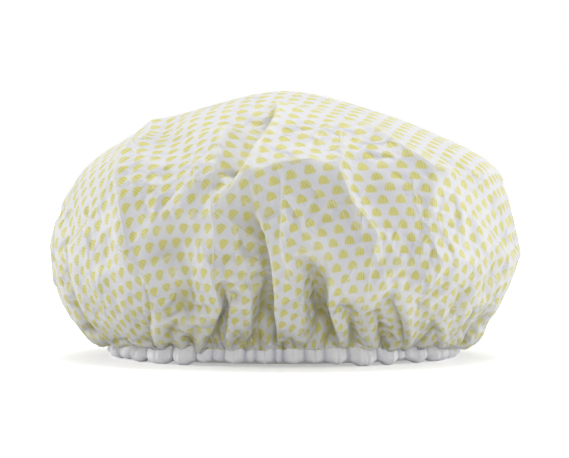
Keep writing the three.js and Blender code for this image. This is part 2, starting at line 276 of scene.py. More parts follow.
@dataclass(frozen=True)
class LaidFold:
    """A fold whose route is already on the flat film, in millimetres from its middle."""

    kind: FoldKind
    depth: float
    width: float
    route: np.ndarray
    to_hem: bool
    # whether a thin pale line, a painted highlight, runs along the fold
    highlit: bool = False

    def _nearest(self, flat: np.ndarray) -> tuple[np.ndarray, np.ndarray, np.ndarray]:
        """How far places are from the route, where along it from 0 to 1, and which are right of it."""
        near = np.full(flat.shape[:-1], np.inf)
        share = np.zeros(near.shape)
        right = np.zeros(near.shape, dtype=bool)
        spans = np.linalg.norm(np.diff(self.route, axis=0), axis=1)
        run = 0.0
        for start, end, span in zip(self.route[:-1], self.route[1:], spans):
            along = (end - start) / span
            rel = flat - start
            step = np.clip(rel @ along, 0.0, span)
            off = np.linalg.norm(rel - step[..., None] * along, axis=-1)
            closer = off < near
            share = np.where(closer, (run + step) / spans.sum(), share)
            right = np.where(closer, along[0] * rel[..., 1] < along[1] * rel[..., 0], right)
            near = np.where(closer, off, near)
            run += span
        return near, share, right

    def heights(self, flat: np.ndarray, cell: float) -> np.ndarray:
        """How far the fold lifts or sinks places of the flat film.

        Args:
            flat: places on the flat disc.
            cell: the grid's spacing, which limits how narrow the fold can be.

        Returns:
            Heights along the smooth form's normal.
        """
        near, share, right = self._nearest(flat)
        ends = share if self.to_hem else np.minimum(share, 1 - share)
        ends = np.clip(ends / PROFILE.fade, 0.0, 1.0)
        depth = self.depth * ends * ends * (3 - 2 * ends)
        away = near / max(self.width, PROFILE.least_cells * cell)
        if self.kind is LAP:
            edge = np.exp(-near / max(PROFILE.lap_edge, PROFILE.lap_cells * cell))
            drop = (1 + PROFILE.lap_under) * edge - PROFILE.lap_under * np.exp(-away)
            return depth * np.where(right, drop, np.exp(-away))
        if self.kind is RIDGE:
            return depth * np.exp(-np.sqrt(away**2 + PROFILE.ridge_round))
        if self.to_hem:
            wide = PROFILE.pleat_top + (PROFILE.pleat_foot - PROFILE.pleat_top) * share
            slope = np.sqrt((away / wide / PROFILE.pleat_side) ** 2 + PROFILE.pleat_round)
            return -depth * wide * np.clip(1 + math.sqrt(PROFILE.pleat_round) - slope, 0.0, 1.0)
        return -depth * np.exp(-(away**2))


@dataclass(frozen=True)
class BackPleats:
    """Pleats that run up from the hem on the sides and the back, at random widths and lengths.

    Attributes:
        first: angle of the first pleat on the flat film, in degrees from +X.
        last: angle of the last one.
        count: how many valleys there are, with a ridge beside every other one.
        drift: how far a pleat strays from its even place, as a share of the step between two.
        valley_top: where a valley starts, as a share of the way from the crown to the hem.
        valley_foot: where it ends.
        valley_lean: how far its top leans over, as a share of the step.
        valley_sway: share of that lean at the top, halfway and at the foot.
        valley_depth: how deep it is.
        longest: how much deeper the longest valleys are.
        valley_width: its half width.
        ridge_top: where a ridge starts, and the rest of its sizes in the same way.
        seed: start of the random numbers.
    """

    first: float = -28.0
    last: float = 208.0
    count: int = 26
    drift: float = 0.35
    valley_top: Span = (0.58, 0.84)
    valley_foot: float = 0.97
    valley_lean: float = 0.6
    valley_sway: tuple[float, float, float] = (1.0, 0.4, 0.0)
    valley_depth: Span = (3.5, 8.0)
    longest: float = 1.25
    valley_width: Span = (4.0, 9.0)
    ridge_top: Span = (0.42, 0.7)
    ridge_foot: float = 0.9
    ridge_lean: float = 0.8
    ridge_sway: tuple[float, float, float] = (1.0, 0.3, 0.0)
    ridge_depth: Span = (2.0, 4.5)
    ridge_width: Span = (5.0, 9.0)
    seed: int = 7

    @staticmethod
    def _route(reach: float, top: float, foot: float, turns: np.ndarray) -> np.ndarray:
        """A route from a top to a foot, given its angles at the top, halfway and at the foot."""
        shares = np.array([top, (top + foot) / 2, foot])
        return reach * shares[:, None] * np.stack([np.cos(turns), np.sin(turns)], 1)

    def laid(self, reach: float) -> list[LaidFold]:
        """The pleats on a flat film.

        Args:
            reach: radius of the film.

        Returns:
            Valleys and ridges, each from its top down to the hem.
        """
        rng = np.random.default_rng(self.seed)
        angles = np.radians(np.linspace(self.first, self.last, self.count))
        step = angles[1] - angles[0]
        folds = []
        for index, angle in enumerate(angles):
            top = rng.uniform(*self.valley_top)
            middle = angle + rng.uniform(-self.drift, self.drift) * step
            lean = rng.uniform(-self.valley_lean, self.valley_lean) * step
            turns = middle + lean * np.array(self.valley_sway)
            route = self._route(reach, top, self.valley_foot, turns)
            depth = rng.uniform(*self.valley_depth) * (self.longest - (top - self.valley_top[0]))
            folds.append(LaidFold(VALLEY, depth, rng.uniform(*self.valley_width), route, True))
            if index % 2:
                top = rng.uniform(*self.ridge_top)
                sway = rng.uniform(-self.ridge_lean, self.ridge_lean) * np.array(self.ridge_sway)
                route = self._route(reach, top, self.ridge_foot, middle + step * (0.5 + sway))
                depth = rng.uniform(*self.ridge_depth)
                folds.append(LaidFold(RIDGE, depth, rng.uniform(*self.ridge_width), route, False))
        return folds


@dataclass(frozen=True)
class FineCreases:
    """Short sharp creases of film that was once folded flat, scattered over the cap.

    Attributes:
        count: how many there are.
        length: least and greatest length.
        depth: least and greatest height.
        width: half width.
        place: least and greatest share of the way from the crown to the hem.
        crowding: how the places crowd towards the hem, not at all at 1.
        turn: how far a crease usually turns from the film's radius, in radians.
        kink: how far its middle usually lies off the straight line.
        ridges: share of the creases that stand out.
        seed: start of the random numbers.
    """

    count: int = 150
    length: Span = (14.0, 46.0)
    depth: Span = (0.35, 1.0)
    width: float = 2.2
    place: Span = (0.25, 0.92)
    crowding: float = 0.7
    turn: float = 0.6
    kink: float = 1.5
    ridges: float = 0.65
    seed: int = 11

    def laid(self, reach: float) -> list[LaidFold]:
        """The creases on a flat film.

        Args:
            reach: radius of the film.

        Returns:
            Ridges and valleys, mostly along the film's radius.
        """
        rng = np.random.default_rng(self.seed)
        folds = []
        for _ in range(self.count):
            away = rng.uniform(*self.place) ** self.crowding * reach
            angle = rng.uniform(0.0, FULL_TURN)
            heading = angle + rng.normal(0.0, self.turn)
            half = rng.uniform(*self.length) / 2 * np.array([math.cos(heading), math.sin(heading)])
            middle = away * np.array([math.cos(angle), math.sin(angle)])
            kink = rng.normal(0.0, self.kink, 2)
            route = np.stack([middle - half, middle + kink, middle + half])
            kind = RIDGE if rng.random() < self.ridges else VALLEY
            folds.append(LaidFold(kind, rng.uniform(*self.depth), self.width, route, False))
        return folds


@dataclass
class CapShape:
    """The smooth form of the cap: an oval at every height, from the crown down to the hem.

    Attributes:
        belly_half: half width and half depth of the widest oval.
        elastic_half: half width and half depth of the elastic's oval.
        crown_line: share of the belly and height, from the crown down to the belly.
        side_line: share of the way from elastic to belly and height, from the belly down, where
            the film hangs over the ears.
        brow_line: the same at the brow and the nape, where it is drawn straight to the hem.
        right_lean: height, and how far the right side stands out of the even oval there.
        samples: points along the line from crown to hem.
        passes: how often that line is smoothed.
    """

    belly_half: Span = (130.0, 110.0)
    elastic_half: Span = (91.0, 75.0)
    crown_line: Pairs = (
        (0.0, 151.4), (0.10, 150.2), (0.18, 148.0), (0.30, 143.8), (0.45, 137.6), (0.54, 132.8),
        (0.62, 128.0), (0.69, 123.2), (0.765, 118.2), (0.815, 113.8), (0.86, 108.6), (0.90, 103.0),
        (0.93, 96.0), (0.96, 87.0), (0.98, 78.0), (0.996, 68.0), (1.0, 60.0),
    )
    side_line: Pairs = (
        (0.99, 52.0), (0.945, 42.0), (0.86, 32.0), (0.74, 23.5), (0.61, 16.5), (0.49, 11.5), (0.38, 8.6),
        (0.28, 7.6), (0.20, 8.8), (0.13, 11.4), (0.07, 12.6), (0.04, 7.6),
    )
    brow_line: Pairs = (
        (0.98, 52.0), (0.92, 47.0), (0.84, 42.0), (0.75, 37.3), (0.65, 32.8), (0.55, 28.5), (0.45, 24.4),
        (0.36, 20.8), (0.28, 17.6), (0.21, 15.0), (0.15, 13.0), (0.10, 12.2), (0.07, 12.2), (0.04, 7.6),
    )
    right_lean: Pairs = (
        (8.0, 0.0), (20.0, -5.0), (35.0, -4.5), (60.0, -1.0), (90.0, 1.5), (108.0, 6.0), (118.0, 5.0),
        (140.0, 0.0),
    )
    samples: int = 600
    passes: int = 60
    length: float = field(init=False)

    def __post_init__(self) -> None:
        """Works out the lines from crown to hem at even steps."""
        lowers = (self.side_line, self.brow_line)
        found = [self._even(*sizes) for sizes in zip(self.belly_half, self.elastic_half, lowers)]
        self._side, self._brow = (line for line, _ in found)
        self.length = sum(length for _, length in found) / len(found)

    def _even(self, belly: float, elastic: float, lower_line: tuple) -> tuple[np.ndarray, float]:
        """One line from crown to hem: distance out and height at even steps, and its length."""
        crown, lower = np.array(self.crown_line), np.array(lower_line)
        out = np.concatenate([crown[:, 0] * belly, elastic + (belly - elastic) * lower[:, 0]])
        height = np.concatenate([crown[:, 1], lower[:, 1]])
        run = np.concatenate([[0.0], np.cumsum(np.hypot(np.diff(out), np.diff(height)))])
        even = np.linspace(0.0, run[-1], self.samples)
        line = np.stack([np.interp(even, run, column) for column in (out, height)], 1)
        for _ in range(self.passes):
            inner = (line[:-2] + 2 * line[1:-1] + line[2:]) / 4
            line = np.concatenate([line[:1], inner, line[-1:]])
        return line, float(run[-1])

    def at(self, share: np.ndarray, angle: np.ndarray, plan: np.ndarray, puff: np.ndarray) -> np.ndarray:
        """Places on the form.

        Args:
            share: 0 at the crown, 1 at the film's edge.
            angle: angle on the flat film, in radians.
            plan: the same seen from above, where gathers have moved it.
            puff: how far the place stands out of the oval.

        Returns:
            Places in millimetres, xyz on the last axis.
        """
        steps = np.linspace(0.0, 1.0, self.samples)
        half_width, side_height = (np.interp(share, steps, column) for column in self._side.T)
        half_depth, brow_height = (np.interp(share, steps, column) for column in self._brow.T)
        height = brow_height + (side_height - brow_height) * np.cos(angle) ** 2
        rightward = np.clip(np.cos(angle), 0.0, 1.0) ** 2
        lean = rightward * at_pairs(height, self.right_lean)
        across = (half_width + puff) * np.cos(plan) + lean
        return np.stack([across, (half_depth + puff) * np.sin(plan), height], -1)

    def on_ring(self, angle: np.ndarray, out: Values, height: Values) -> np.ndarray:
        """Places round the elastic's oval, given how far out of it they lie and how high."""
        half_width, half_depth = self.elastic_half
        across = (half_width + out) * np.cos(angle)
        back = (half_depth + out) * np.sin(angle)
        return np.stack(np.broadcast_arrays(across, back, height), -1)


@dataclass
class HemGather:
    """The gathers of the hem: where each crease is, and how far the cloth swells between two.

    Attributes:
        brow_creases: how far across the brow's creases lie, in millimetres.
        crease_out: how far out of the elastic these places were taken.
        back_puffs: how many puffs go round the rest of the hem.
        back_widths: least and greatest width of these puffs, as a share of the mean.
        common_puff: width of a puff that swells fully.
        sizes: least and greatest width of a puff that counts, as a share of that.
        size_power: how a puff's swell grows with its width.
        bulge: how far a puff bulges over the creases beside it, from 0 to 1.
        roundness: how a puff's outline runs, round at 1 and square at 0.
        depths: least and greatest swell of a puff.
        hangs: least and greatest share by which the film hangs over the strip on a puff.
        hang_round: how that share runs along a puff, round at 1 and square at 0.
        drawn_up: the same share in a crease, where the film is drawn up.
        seed: start of the random numbers.
    """

    shape: CapShape
    brow_creases: tuple[float, ...] = (
        -84, -75, -61, -48.5, -39.5, -33, -21.5, -16, -5.5, -1, 11, 22, 34.5, 50.5, 62, 66.5, 78.5, 88,
    )
    crease_out: float = 3.0
    back_puffs: int = 19
    back_widths: Span = (0.6, 1.4)
    common_puff: float = 14.0
    sizes: Span = (0.45, 1.2)
    size_power: float = 0.7
    bulge: float = 0.4
    roundness: float = 0.65
    depths: Span = (0.8, 1.15)
    hangs: Span = (0.3, 1.0)
    hang_round: float = 0.8
    drawn_up: float = 0.3
    seed: int = 4

    def __post_init__(self) -> None:
        """Places the creases round the whole hem."""
        half_width, half_depth = self.shape.elastic_half
        rng = np.random.default_rng(self.seed)
        brow = -np.arccos(np.array(self.brow_creases) / (half_width + self.crease_out))
        widths = np.cumsum(rng.uniform(*self.back_widths, self.back_puffs))
        back = brow[-1] + widths[:-1] / widths[-1] * (brow[0] + FULL_TURN - brow[-1])
        creases = np.concatenate([brow, back])
        self._edges = np.concatenate([creases, [creases[0] + FULL_TURN]])
        self._depths = rng.uniform(*self.depths, len(creases))
        self._hangs = rng.uniform(*self.hangs, len(creases))
        self._mean_radius = (half_width + half_depth) / 2

    def _find(self, angle: np.ndarray) -> tuple[np.ndarray, np.ndarray]:
        """Which puff each angle falls in, and how far along it."""
        edges = self._edges
        turned = (angle - edges[0]) % FULL_TURN + edges[0]
        puff = np.clip(np.searchsorted(edges, turned, side="right") - 1, 0, len(edges) - 2)
        return puff, (turned - edges[puff]) / (edges[puff + 1] - edges[puff])

    def hang(self, angle: np.ndarray) -> np.ndarray:
        """How far the film hangs over the strip, below 0 in a crease and up to 1 on a puff."""
        puff, along = self._find(angle)
        full = np.clip(np.sin(np.pi * along), 0.0, 1.0) ** self.hang_round
        return self._hangs[puff] * full * (1 + self.drawn_up) - self.drawn_up

    def at(self, angle: np.ndarray) -> tuple[np.ndarray, np.ndarray]:
        """The gathers at angles along the cloth.

        Args:
            angle: angle along the ungathered cloth, in radians.

        Returns:
            The angle in plan after the puffs bulge over their creases, and the swell, 0 in a
            crease and about 1 at the middle of a puff.
        """
        edges = self._edges
        puff, along = self._find(angle)
        width = edges[puff + 1] - edges[puff]
        plan = edges[puff] + width * (along - self.bulge * np.sin(4 * np.pi * along) / (4 * np.pi))
        size = np.clip(width * self._mean_radius / self.common_puff, *self.sizes) ** self.size_power
        swell = np.clip(np.sin(np.pi * along), 0.0, 1.0) ** self.roundness
        return plan, swell * size * self._depths[puff]

    def place(self, angle: np.ndarray, out: np.ndarray, height: np.ndarray) -> np.ndarray:
        """Points round the hem, given how far out of the elastic's oval they lie."""
        plan, _ = self.at(angle)
        return self.shape.on_ring(plan, out, height)


def grid_normals(points: np.ndarray) -> np.ndarray:
    """Unit normals of a grid of points, turned to point out of the cap.

    Args:
        points: a square grid of places, xyz on the last axis.

    Returns:
        One unit normal for each place.
    """
    found = np.cross(np.gradient(points, axis=1), np.gradient(points, axis=0))
    found /= np.maximum(np.linalg.norm(found, axis=-1, keepdims=True), TINY)
    middle = len(points) // 2
    return found if found[middle, middle, 2] > 0 else -found


def smoothed(values: np.ndarray, passes: int) -> np.ndarray:
    """A grid of values averaged with its neighbours, its edge held."""
    for _ in range(passes):
        padded = np.pad(values, 1, mode="edge")
        values = (
            padded[1:-1, 1:-1] + padded[:-2, 1:-1] + padded[2:, 1:-1] + padded[1:-1, :-2] + padded[1:-1, 2:]
        ) / 5
    return values


def smoothed_places(points: np.ndarray, passes: int) -> np.ndarray:
    """A grid of places averaged with their neighbours."""
    return np.stack([smoothed(column, passes) for column in np.moveaxis(points, -1, 0)], -1)


class FilmLevel:
    """The film's disc as a grid of points that keep their lengths, at one fineness.

    Attributes:
        LINKS: steps between points that keep a length, the double ones against sharp bends.
        DIAGONAL: how stiff a slanting link is.
        PULL: how far points move towards their lengths in one round.
        HOLD: how far they move back into the room round their folds.
        SMALL_STEP: a short way towards the hem, as a share of the whole.
    """

    LINKS = ((1, 0), (0, 1), (1, 1), (1, -1), (2, 0), (0, 2))
    DIAGONAL = 0.4
    PULL = 2.6
    HOLD = 0.5
    SMALL_STEP = 0.002

    def __init__(self, drape: "FilmDrape", cells: int) -> None:
        """Lays the flat disc, the smooth form, the folds and the lengths out on a grid.

        Args:
            drape: the film's sizes.
            cells: squares along one side of the grid.
        """
        shape = drape.shape
        line = np.linspace(-1.0, 1.0, cells + 1)
        x, y = np.meshgrid(line, line)
        unit = np.stack([x * np.sqrt(1 - y * y / 2), y * np.sqrt(1 - x * x / 2)], -1)
        self.cells = cells
        self.flat = unit * shape.length
        share = np.hypot(unit[..., 0], unit[..., 1])
        self.angle = np.arctan2(unit[..., 1], unit[..., 0])
        self.up = (1 - share) * shape.length
        level = np.zeros_like(share)
        self.smooth = shape.at(share, self.angle, self.angle, level)
        self.out = grid_normals(self.smooth)
        down = shape.at(np.minimum(share + self.SMALL_STEP, 1.0), self.angle, self.angle, level) - self.smooth
        self._down = down / np.maximum(np.linalg.norm(down, axis=-1, keepdims=True), TINY)
        self._girth = at_pairs(share, drape.spare_girth)
        cell = 2 * shape.length / cells
        self.held = self.up < max(drape.held_edge, drape.held_cells * cell)
        self.near = np.exp(-((np.maximum(self.up - drape.held_edge, 0.0) / drape.gather_reach) ** 2))
        plan, swell = drape.gather.at(self.angle)
        plan = self.angle + self.near * ((plan - self.angle + np.pi) % FULL_TURN - np.pi)
        free = np.clip((self.up - drape.held_edge) / drape.held_edge, 0.0, 1.0)
        held_out = drape.hem_crease + drape.hem_swell * swell
        free_out = drape.gather_swell * (swell - drape.mean_swell)
        puff = self.near * (held_out * (1 - free) + free_out * free)
        self.target = shape.at(share, self.angle, plan, puff)
        self.floor = drape.brow_floor + (drape.side_floor - drape.brow_floor) * np.cos(self.angle) ** 2
        calm = np.clip((self.up - drape.held_edge) / drape.calm_reach, 0.0, 1.0)
        calm = drape.calm_share + (1 - drape.calm_share) * calm * calm * (3 - 2 * calm)
        oval = np.linalg.norm(self.smooth[..., :2] / np.array(shape.elastic_half), axis=-1)
        room = (oval - 1) * min(shape.elastic_half)
        room = np.where(self.smooth[..., 2] < drape.ring_top, room, shape.length)
        self.fold = np.maximum(drape.fold_heights(self.flat, cell) * calm, -drape.ring_room * room)
        lower_half = np.clip((share - drape.lower_from) / drape.lower_span, 0.0, 1.0)
        self.low = self.fold - np.interp(lower_half, (0, 1), drape.room_in)
        self.high = self.fold + np.interp(lower_half, (0, 1), drape.room_out)
        self._links = [self._link(drape, step) for step in self.LINKS]

    def _link(self, drape: "FilmDrape", step: tuple[int, int]) -> tuple[tuple, tuple, np.ndarray, bool, bool]:
        """The pairs of points one step apart, and the length of film between them."""
        dx, dy = step
        side = self.cells + 1
        first = (slice(max(0, -dy), side - max(0, dy)), slice(0, side - dx))
        second = (slice(max(0, dy), side - max(0, -dy)), slice(dx, side))
        gap = self.smooth[second] - self.smooth[first]
        long = np.maximum(np.linalg.norm(gap, axis=-1), TINY)
        down = (self._down[first] + self._down[second]) / 2
        lengthwise = np.clip(np.abs((gap * down).sum(-1)) / long, 0.0, 1.0) ** 2
        girth = (self._girth[first] + self._girth[second]) / 2
        length = long * np.sqrt(drape.spare_length**2 * lengthwise + girth**2 * (1 - lengthwise))
        return first, second, length, 0 in step, 2 in step

    def width(self) -> float:
        """The flat disc's width."""
        return 2 * float(np.abs(self.flat).max())

    def cut(self) -> np.ndarray:
        """Places on the flat disc, from 0 to 1 over its width."""
        return self.flat / self.width() + 0.5

    def settle(self, points: np.ndarray, rounds: int, bend: float, weight: float) -> np.ndarray:
        """Lets the film settle: lengths pull back, weight pulls down, the stuffing holds it out.

        Args:
            points: where the film starts.
            rounds: how many small moves are made.
            bend: how much the film resists a sharp bend, from 0 to 1.
            weight: drop in one move, in millimetres.

        Returns:
            Where the film comes to lie.
        """
        loose = np.where(self.held, 0.0, 1.0)[..., None]
        for _ in range(rounds):
            move = np.zeros_like(points)
            share = np.zeros(points.shape[:2] + (1,))
            for first, second, length, straight, double in self._links:
                stiff = bend if double else (1.0 if straight else self.DIAGONAL)
                gap = points[second] - points[first]
                long = np.maximum(np.sqrt((gap * gap).sum(-1)), TINY)
                pull = (stiff * 0.5 * (long - length) / long)[..., None] * gap
                move[first] += pull
                move[second] -= pull
                share[first] += stiff
                share[second] += stiff
            points = points + loose * (self.PULL * move / share)
            points[..., 2] -= loose[..., 0] * weight
            stand = ((points - self.target) * self.out).sum(-1)
            fix = np.clip(stand, self.low, self.high) - stand
            points = points + loose * (self.HOLD * fix)[..., None] * self.out
            points[..., 2] = np.where(self.held, points[..., 2], np.maximum(points[..., 2], self.floor))
        return points


@dataclass
class FilmDrape:
    """Settles the disc of film, gathered at its edge, over the cap's loose stuffing.

    The film is a grid of points joined by lengths that they keep, settled coarse to fine. The
    folds on the brow guide it, and the rest fall where the spare film lets them.

    Attributes:
        cells: squares along one side of the coarse grid, doubled at each later level.
        rounds: moves at each level.
        bends: resistance to bending at each level.
        weights: drop in one move at each level.
        spare_girth: the film's girth over the smooth form's, at each share of the way to the hem.
        spare_length: the same from crown to hem.
        held_edge: width of the edge that the strip holds.
        held_cells: its least width, in cells of the grid.
        brow_floor: least height of the film at the brow.
        side_floor: the same over the ears.
        calm_reach: how far above the held edge the folds are full.
        calm_share: how much of them is left at that edge.
        ring_top: height below which the folds stay out of the elastic's oval.
        ring_room: how much of the room to that oval a fold may take.
        hem_crease: how far out the held edge lies in a crease.
        hem_swell: how much further it lies on a puff.
        gather_swell: how far the puffs lift the film above the held edge.
        mean_swell: swell at which they lift nothing.
        gather_reach: how far up they do so.
        tongue: how far the film hangs over the strip on the fullest puff.
        tongue_reach: way up from the edge, and share of the tongue there.
        eased: way up from the edge, and how much the film is smoothed there.
        ease_passes: how often it is smoothed.
        lower_from: share of the way to the hem where the lower half starts.
        lower_span: how long the change to it takes.
        room_in: how far the film may sink from its folds, at the crown and at the hem.
        room_out: how far it may stand out of them, at the crown and at the hem.
        facing: how far back a place may face and still count as seen.
        start_noise: how uneven the film starts, once smoothed noise_passes times.
        seed: start of the random numbers.
    """

    shape: CapShape
    gather: HemGather
    view: BrowView
    folds: tuple[Fold, ...] = SHOULDER_FOLDS + CREST_FOLDS + PLEAT_FOLDS
    pleats: BackPleats = BackPleats()
    creases: FineCreases = FineCreases()
    cells: int = 72
    rounds: tuple[int, ...] = (300, 160, 70)
    bends: tuple[float, ...] = (0.3, 0.15, 0.08)
    weights: tuple[float, ...] = (0.02, 0.01, 0.003)
    spare_girth: Pairs = (
        (0.0, 1.0), (0.3, 1.01), (0.5, 1.025), (0.7, 1.05), (0.85, 1.13), (0.94, 1.3), (1.0, 1.5),
    )
    spare_length: float = 1.006
    held_edge: float = 5.0
    held_cells: float = 0.6
    brow_floor: float = 8.0
    side_floor: float = 5.0
    calm_reach: float = 20.0
    calm_share: float = 0.35
    ring_top: float = 58.0
    ring_room: float = 0.9
    hem_crease: float = -1.2
    hem_swell: float = 3.4
    gather_swell: float = 9.0
    mean_swell: float = 0.6
    gather_reach: float = 16.0
    tongue: float = 4.2
    tongue_reach: Pairs = ((0.0, 0.0), (3.0, 0.3), (6.0, 1.0), (11.0, 0.8), (26.0, 0.0))
    eased: Pairs = ((4.0, 0.0), (6.0, 1.0), (12.0, 1.0), (18.0, 0.0))
    ease_passes: int = 3
    lower_from: float = 0.45
    lower_span: float = 0.3
    room_in: Span = (2.0, 2.5)
    room_out: Span = (1.2, 1.5)
    facing: float = 0.25
    start_noise: float = 2.0
    noise_passes: int = 2
    seed: int = 2

    def _lay(self, fold: Fold, bare: FilmLevel) -> LaidFold:
        """A fold on the flat film, under the places where the camera sees it."""
        seen = self.view.seen(bare.smooth)
        hidden = np.where(bare.out[..., 1] < self.facing, 0.0, FAR)
        found = []
        for place in fold.route:
            miss = np.linalg.norm(seen - np.array(place), axis=-1) + hidden
            found.append(bare.flat[np.unravel_index(np.argmin(miss), miss.shape)])
        return LaidFold(fold.kind, fold.depth, fold.width, np.array(found), fold.to_hem, fold.highlit)

    def fold_heights(self, flat: np.ndarray, cell: float) -> np.ndarray:
        """How far the folds lift or sink each place of the flat film.

        Args:
            flat: places on the flat disc.
            cell: the grid's spacing, which limits how narrow a fold can be.

        Returns:
            Heights along the smooth form's normal.
        """
        return sum((fold.heights(flat, cell) for fold in self._laid), np.zeros(flat.shape[:-1]))

    def _doubled(self, points: np.ndarray) -> np.ndarray:
        """The same film on a grid twice as fine."""
        side = len(points)
        fine = np.empty((2 * side - 1, 2 * side - 1, points.shape[-1]))
        fine[::2, ::2] = points
        fine[1::2, ::2] = (points[1:] + points[:-1]) / 2
        fine[:, 1::2] = (fine[:, 2::2] + fine[:, :-2:2]) / 2
        return fine

    def highlight_lines(self) -> list[np.ndarray]:
        """Routes of the folds that carry a painted highlight line, on the flat film, once the film has settled."""
        return [fold.route for fold in self._laid if fold.highlit]

    def run(self) -> tuple[FilmLevel, np.ndarray]:
        """Settles the film from the coarse grid to the fine one.

        Returns:
            The finest level and the film's points on it.
        """
        self._laid: list[LaidFold] = []
        bare = FilmLevel(self, self.cells * 2 ** (len(self.rounds) - 1))
        self._laid = [self._lay(fold, bare) for fold in self.folds] + self.pleats.laid(self.shape.length)
        level = FilmLevel(self, self.cells)
        noise = np.random.default_rng(self.seed).normal(size=level.up.shape)
        noise = smoothed(noise, self.noise_passes)
        noise *= self.start_noise / noise.std()
        lift = level.fold + noise * (1 - level.near)
        points = level.target + level.out * lift[..., None]
        for step, (rounds, bend, weight) in enumerate(zip(self.rounds, self.bends, self.weights)):
            if step:
                coarse = self._doubled(level.fold[..., None])[..., 0]
                level = FilmLevel(self, self.cells * 2**step)
                points = self._doubled(points) + level.out * (level.fold - coarse)[..., None]
                points = np.where(level.held[..., None], level.target, points)
            points = level.settle(points, rounds, bend, weight)
        marks = sum(fold.heights(level.flat, 0.0) for fold in self.creases.laid(self.shape.length))
        points = points + grid_normals(points) * (marks * (1 - level.near))[..., None]
        share = at_pairs(level.up, self.tongue_reach)
        points[..., 2] -= self.tongue * self.gather.hang(level.angle) * share
        eased = at_pairs(level.up, self.eased)[..., None]
        return level, points + eased * (smoothed_places(points, self.ease_passes) - points)


def closed_run(line: np.ndarray) -> np.ndarray:
    """How far along a closed line each of its points is, and its whole length last."""
    steps = np.linalg.norm(np.diff(np.concatenate([line, line[:1]]), axis=0), axis=1)
    return np.concatenate([[0.0], np.cumsum(steps)])


class MeshMaker:
    """Makes meshes from Blender's primitives and moves their points into place."""

    WELD = 1e-7

    @staticmethod
    def clear_selection() -> None:
        """Leaves nothing selected, so that an operator acts on the new piece alone."""
        bpy.ops.object.select_all(action="DESELECT")

    @classmethod
    def sheet(cls, name: str, points: np.ndarray) -> Piece:
        """A square grid of points as one sheet.

        Args:
            name: the piece's name.
            points: places in millimetres on a square grid.

        Returns:
            The new object, at the origin.
        """
        cls.clear_selection()
        side = len(points)
        bpy.ops.mesh.primitive_grid_add(x_subdivisions=side - 1, y_subdivisions=side - 1, size=1.0)
        return cls._placed(name, points)

    @classmethod
    def ring(cls, name: str, points: np.ndarray, **paints: np.ndarray) -> Piece:
        """A closed tube of points, with a UV map in metres along it and round it.

        Args:
            name: the piece's name.
            points: places in millimetres, the stations along the tube first, then round it.
            paints: values for each station, kept on the points under their names.

        Returns:
            The new object, at the origin.
        """
        cls.clear_selection()
        stations, sides = points.shape[:2]
        bpy.ops.mesh.primitive_grid_add(x_subdivisions=sides, y_subdivisions=stations, size=1.0)
        piece = cls._placed(name, np.pad(points, ((0, 1), (0, 1), (0, 0)), mode="wrap"))
        along, around = closed_run(points[:, 0]), closed_run(points[0])
        cls.unwrap(piece, np.stack(np.meshgrid(along, around, indexing="ij"), -1) * MM)
        for paint, values in paints.items():
            cls.paint(piece, paint, np.repeat(np.pad(values, (0, 1), mode="wrap")[:, None], sides + 1, 1))
        bpy.ops.object.mode_set(mode="EDIT")
        bpy.ops.mesh.select_all(action="SELECT")
        bpy.ops.mesh.remove_doubles(threshold=cls.WELD)
        bpy.ops.mesh.normals_make_consistent(inside=False)
        bpy.ops.object.mode_set(mode="OBJECT")
        return piece

    @staticmethod
    def _placed(name: str, points: np.ndarray) -> Piece:
        """Moves the active mesh's points to their places and names it."""
        piece = bpy.context.object
        piece.name = piece.data.name = name
        piece.data.vertices.foreach_set("co", (points.reshape(-1, 3) * MM).ravel())
        piece.data.update()
        bpy.ops.object.shade_smooth()
        return piece

    @staticmethod
    def paint(piece: Piece, name: str, values: np.ndarray) -> None:
        """Keeps one value for each point of a piece, for its material to read."""
        layer = piece.data.attributes.new(name, "FLOAT", "POINT")
        layer.data.foreach_set("value", values.astype(np.float32).ravel())

    @staticmethod
    def unwrap(piece: Piece, flat: np.ndarray) -> None:
        """Gives a piece a UV map from a place on the flat cut for each of its points."""
        corners = np.empty(len(piece.data.loops), dtype=np.int32)
        piece.data.loops.foreach_get("vertex_index", corners)
        layers = piece.data.uv_layers
        layer = layers[0] if layers else layers.new()
        layer.name = "cut"
        layer.data.foreach_set("uv", flat.reshape(-1, 2)[corners].astype(np.float32).ravel())

    @staticmethod
    def dress(piece: Piece, node: str, slot: Slot, material: Material) -> None:
        """Gives a piece its material, hangs it on the body and hides the frame's solid that it replaces.

        Args:
            piece: the new piece.
            node: the frame's solid that it replaces.
            slot: the record's slot for its finish; not used.
            material: its material.
        """
        piece.data.materials.clear()
        piece.data.materials.append(material)
        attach(piece, BODY)
        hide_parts(node)
        LOG.info("%s: %d faces", piece.name, len(piece.data.polygons))


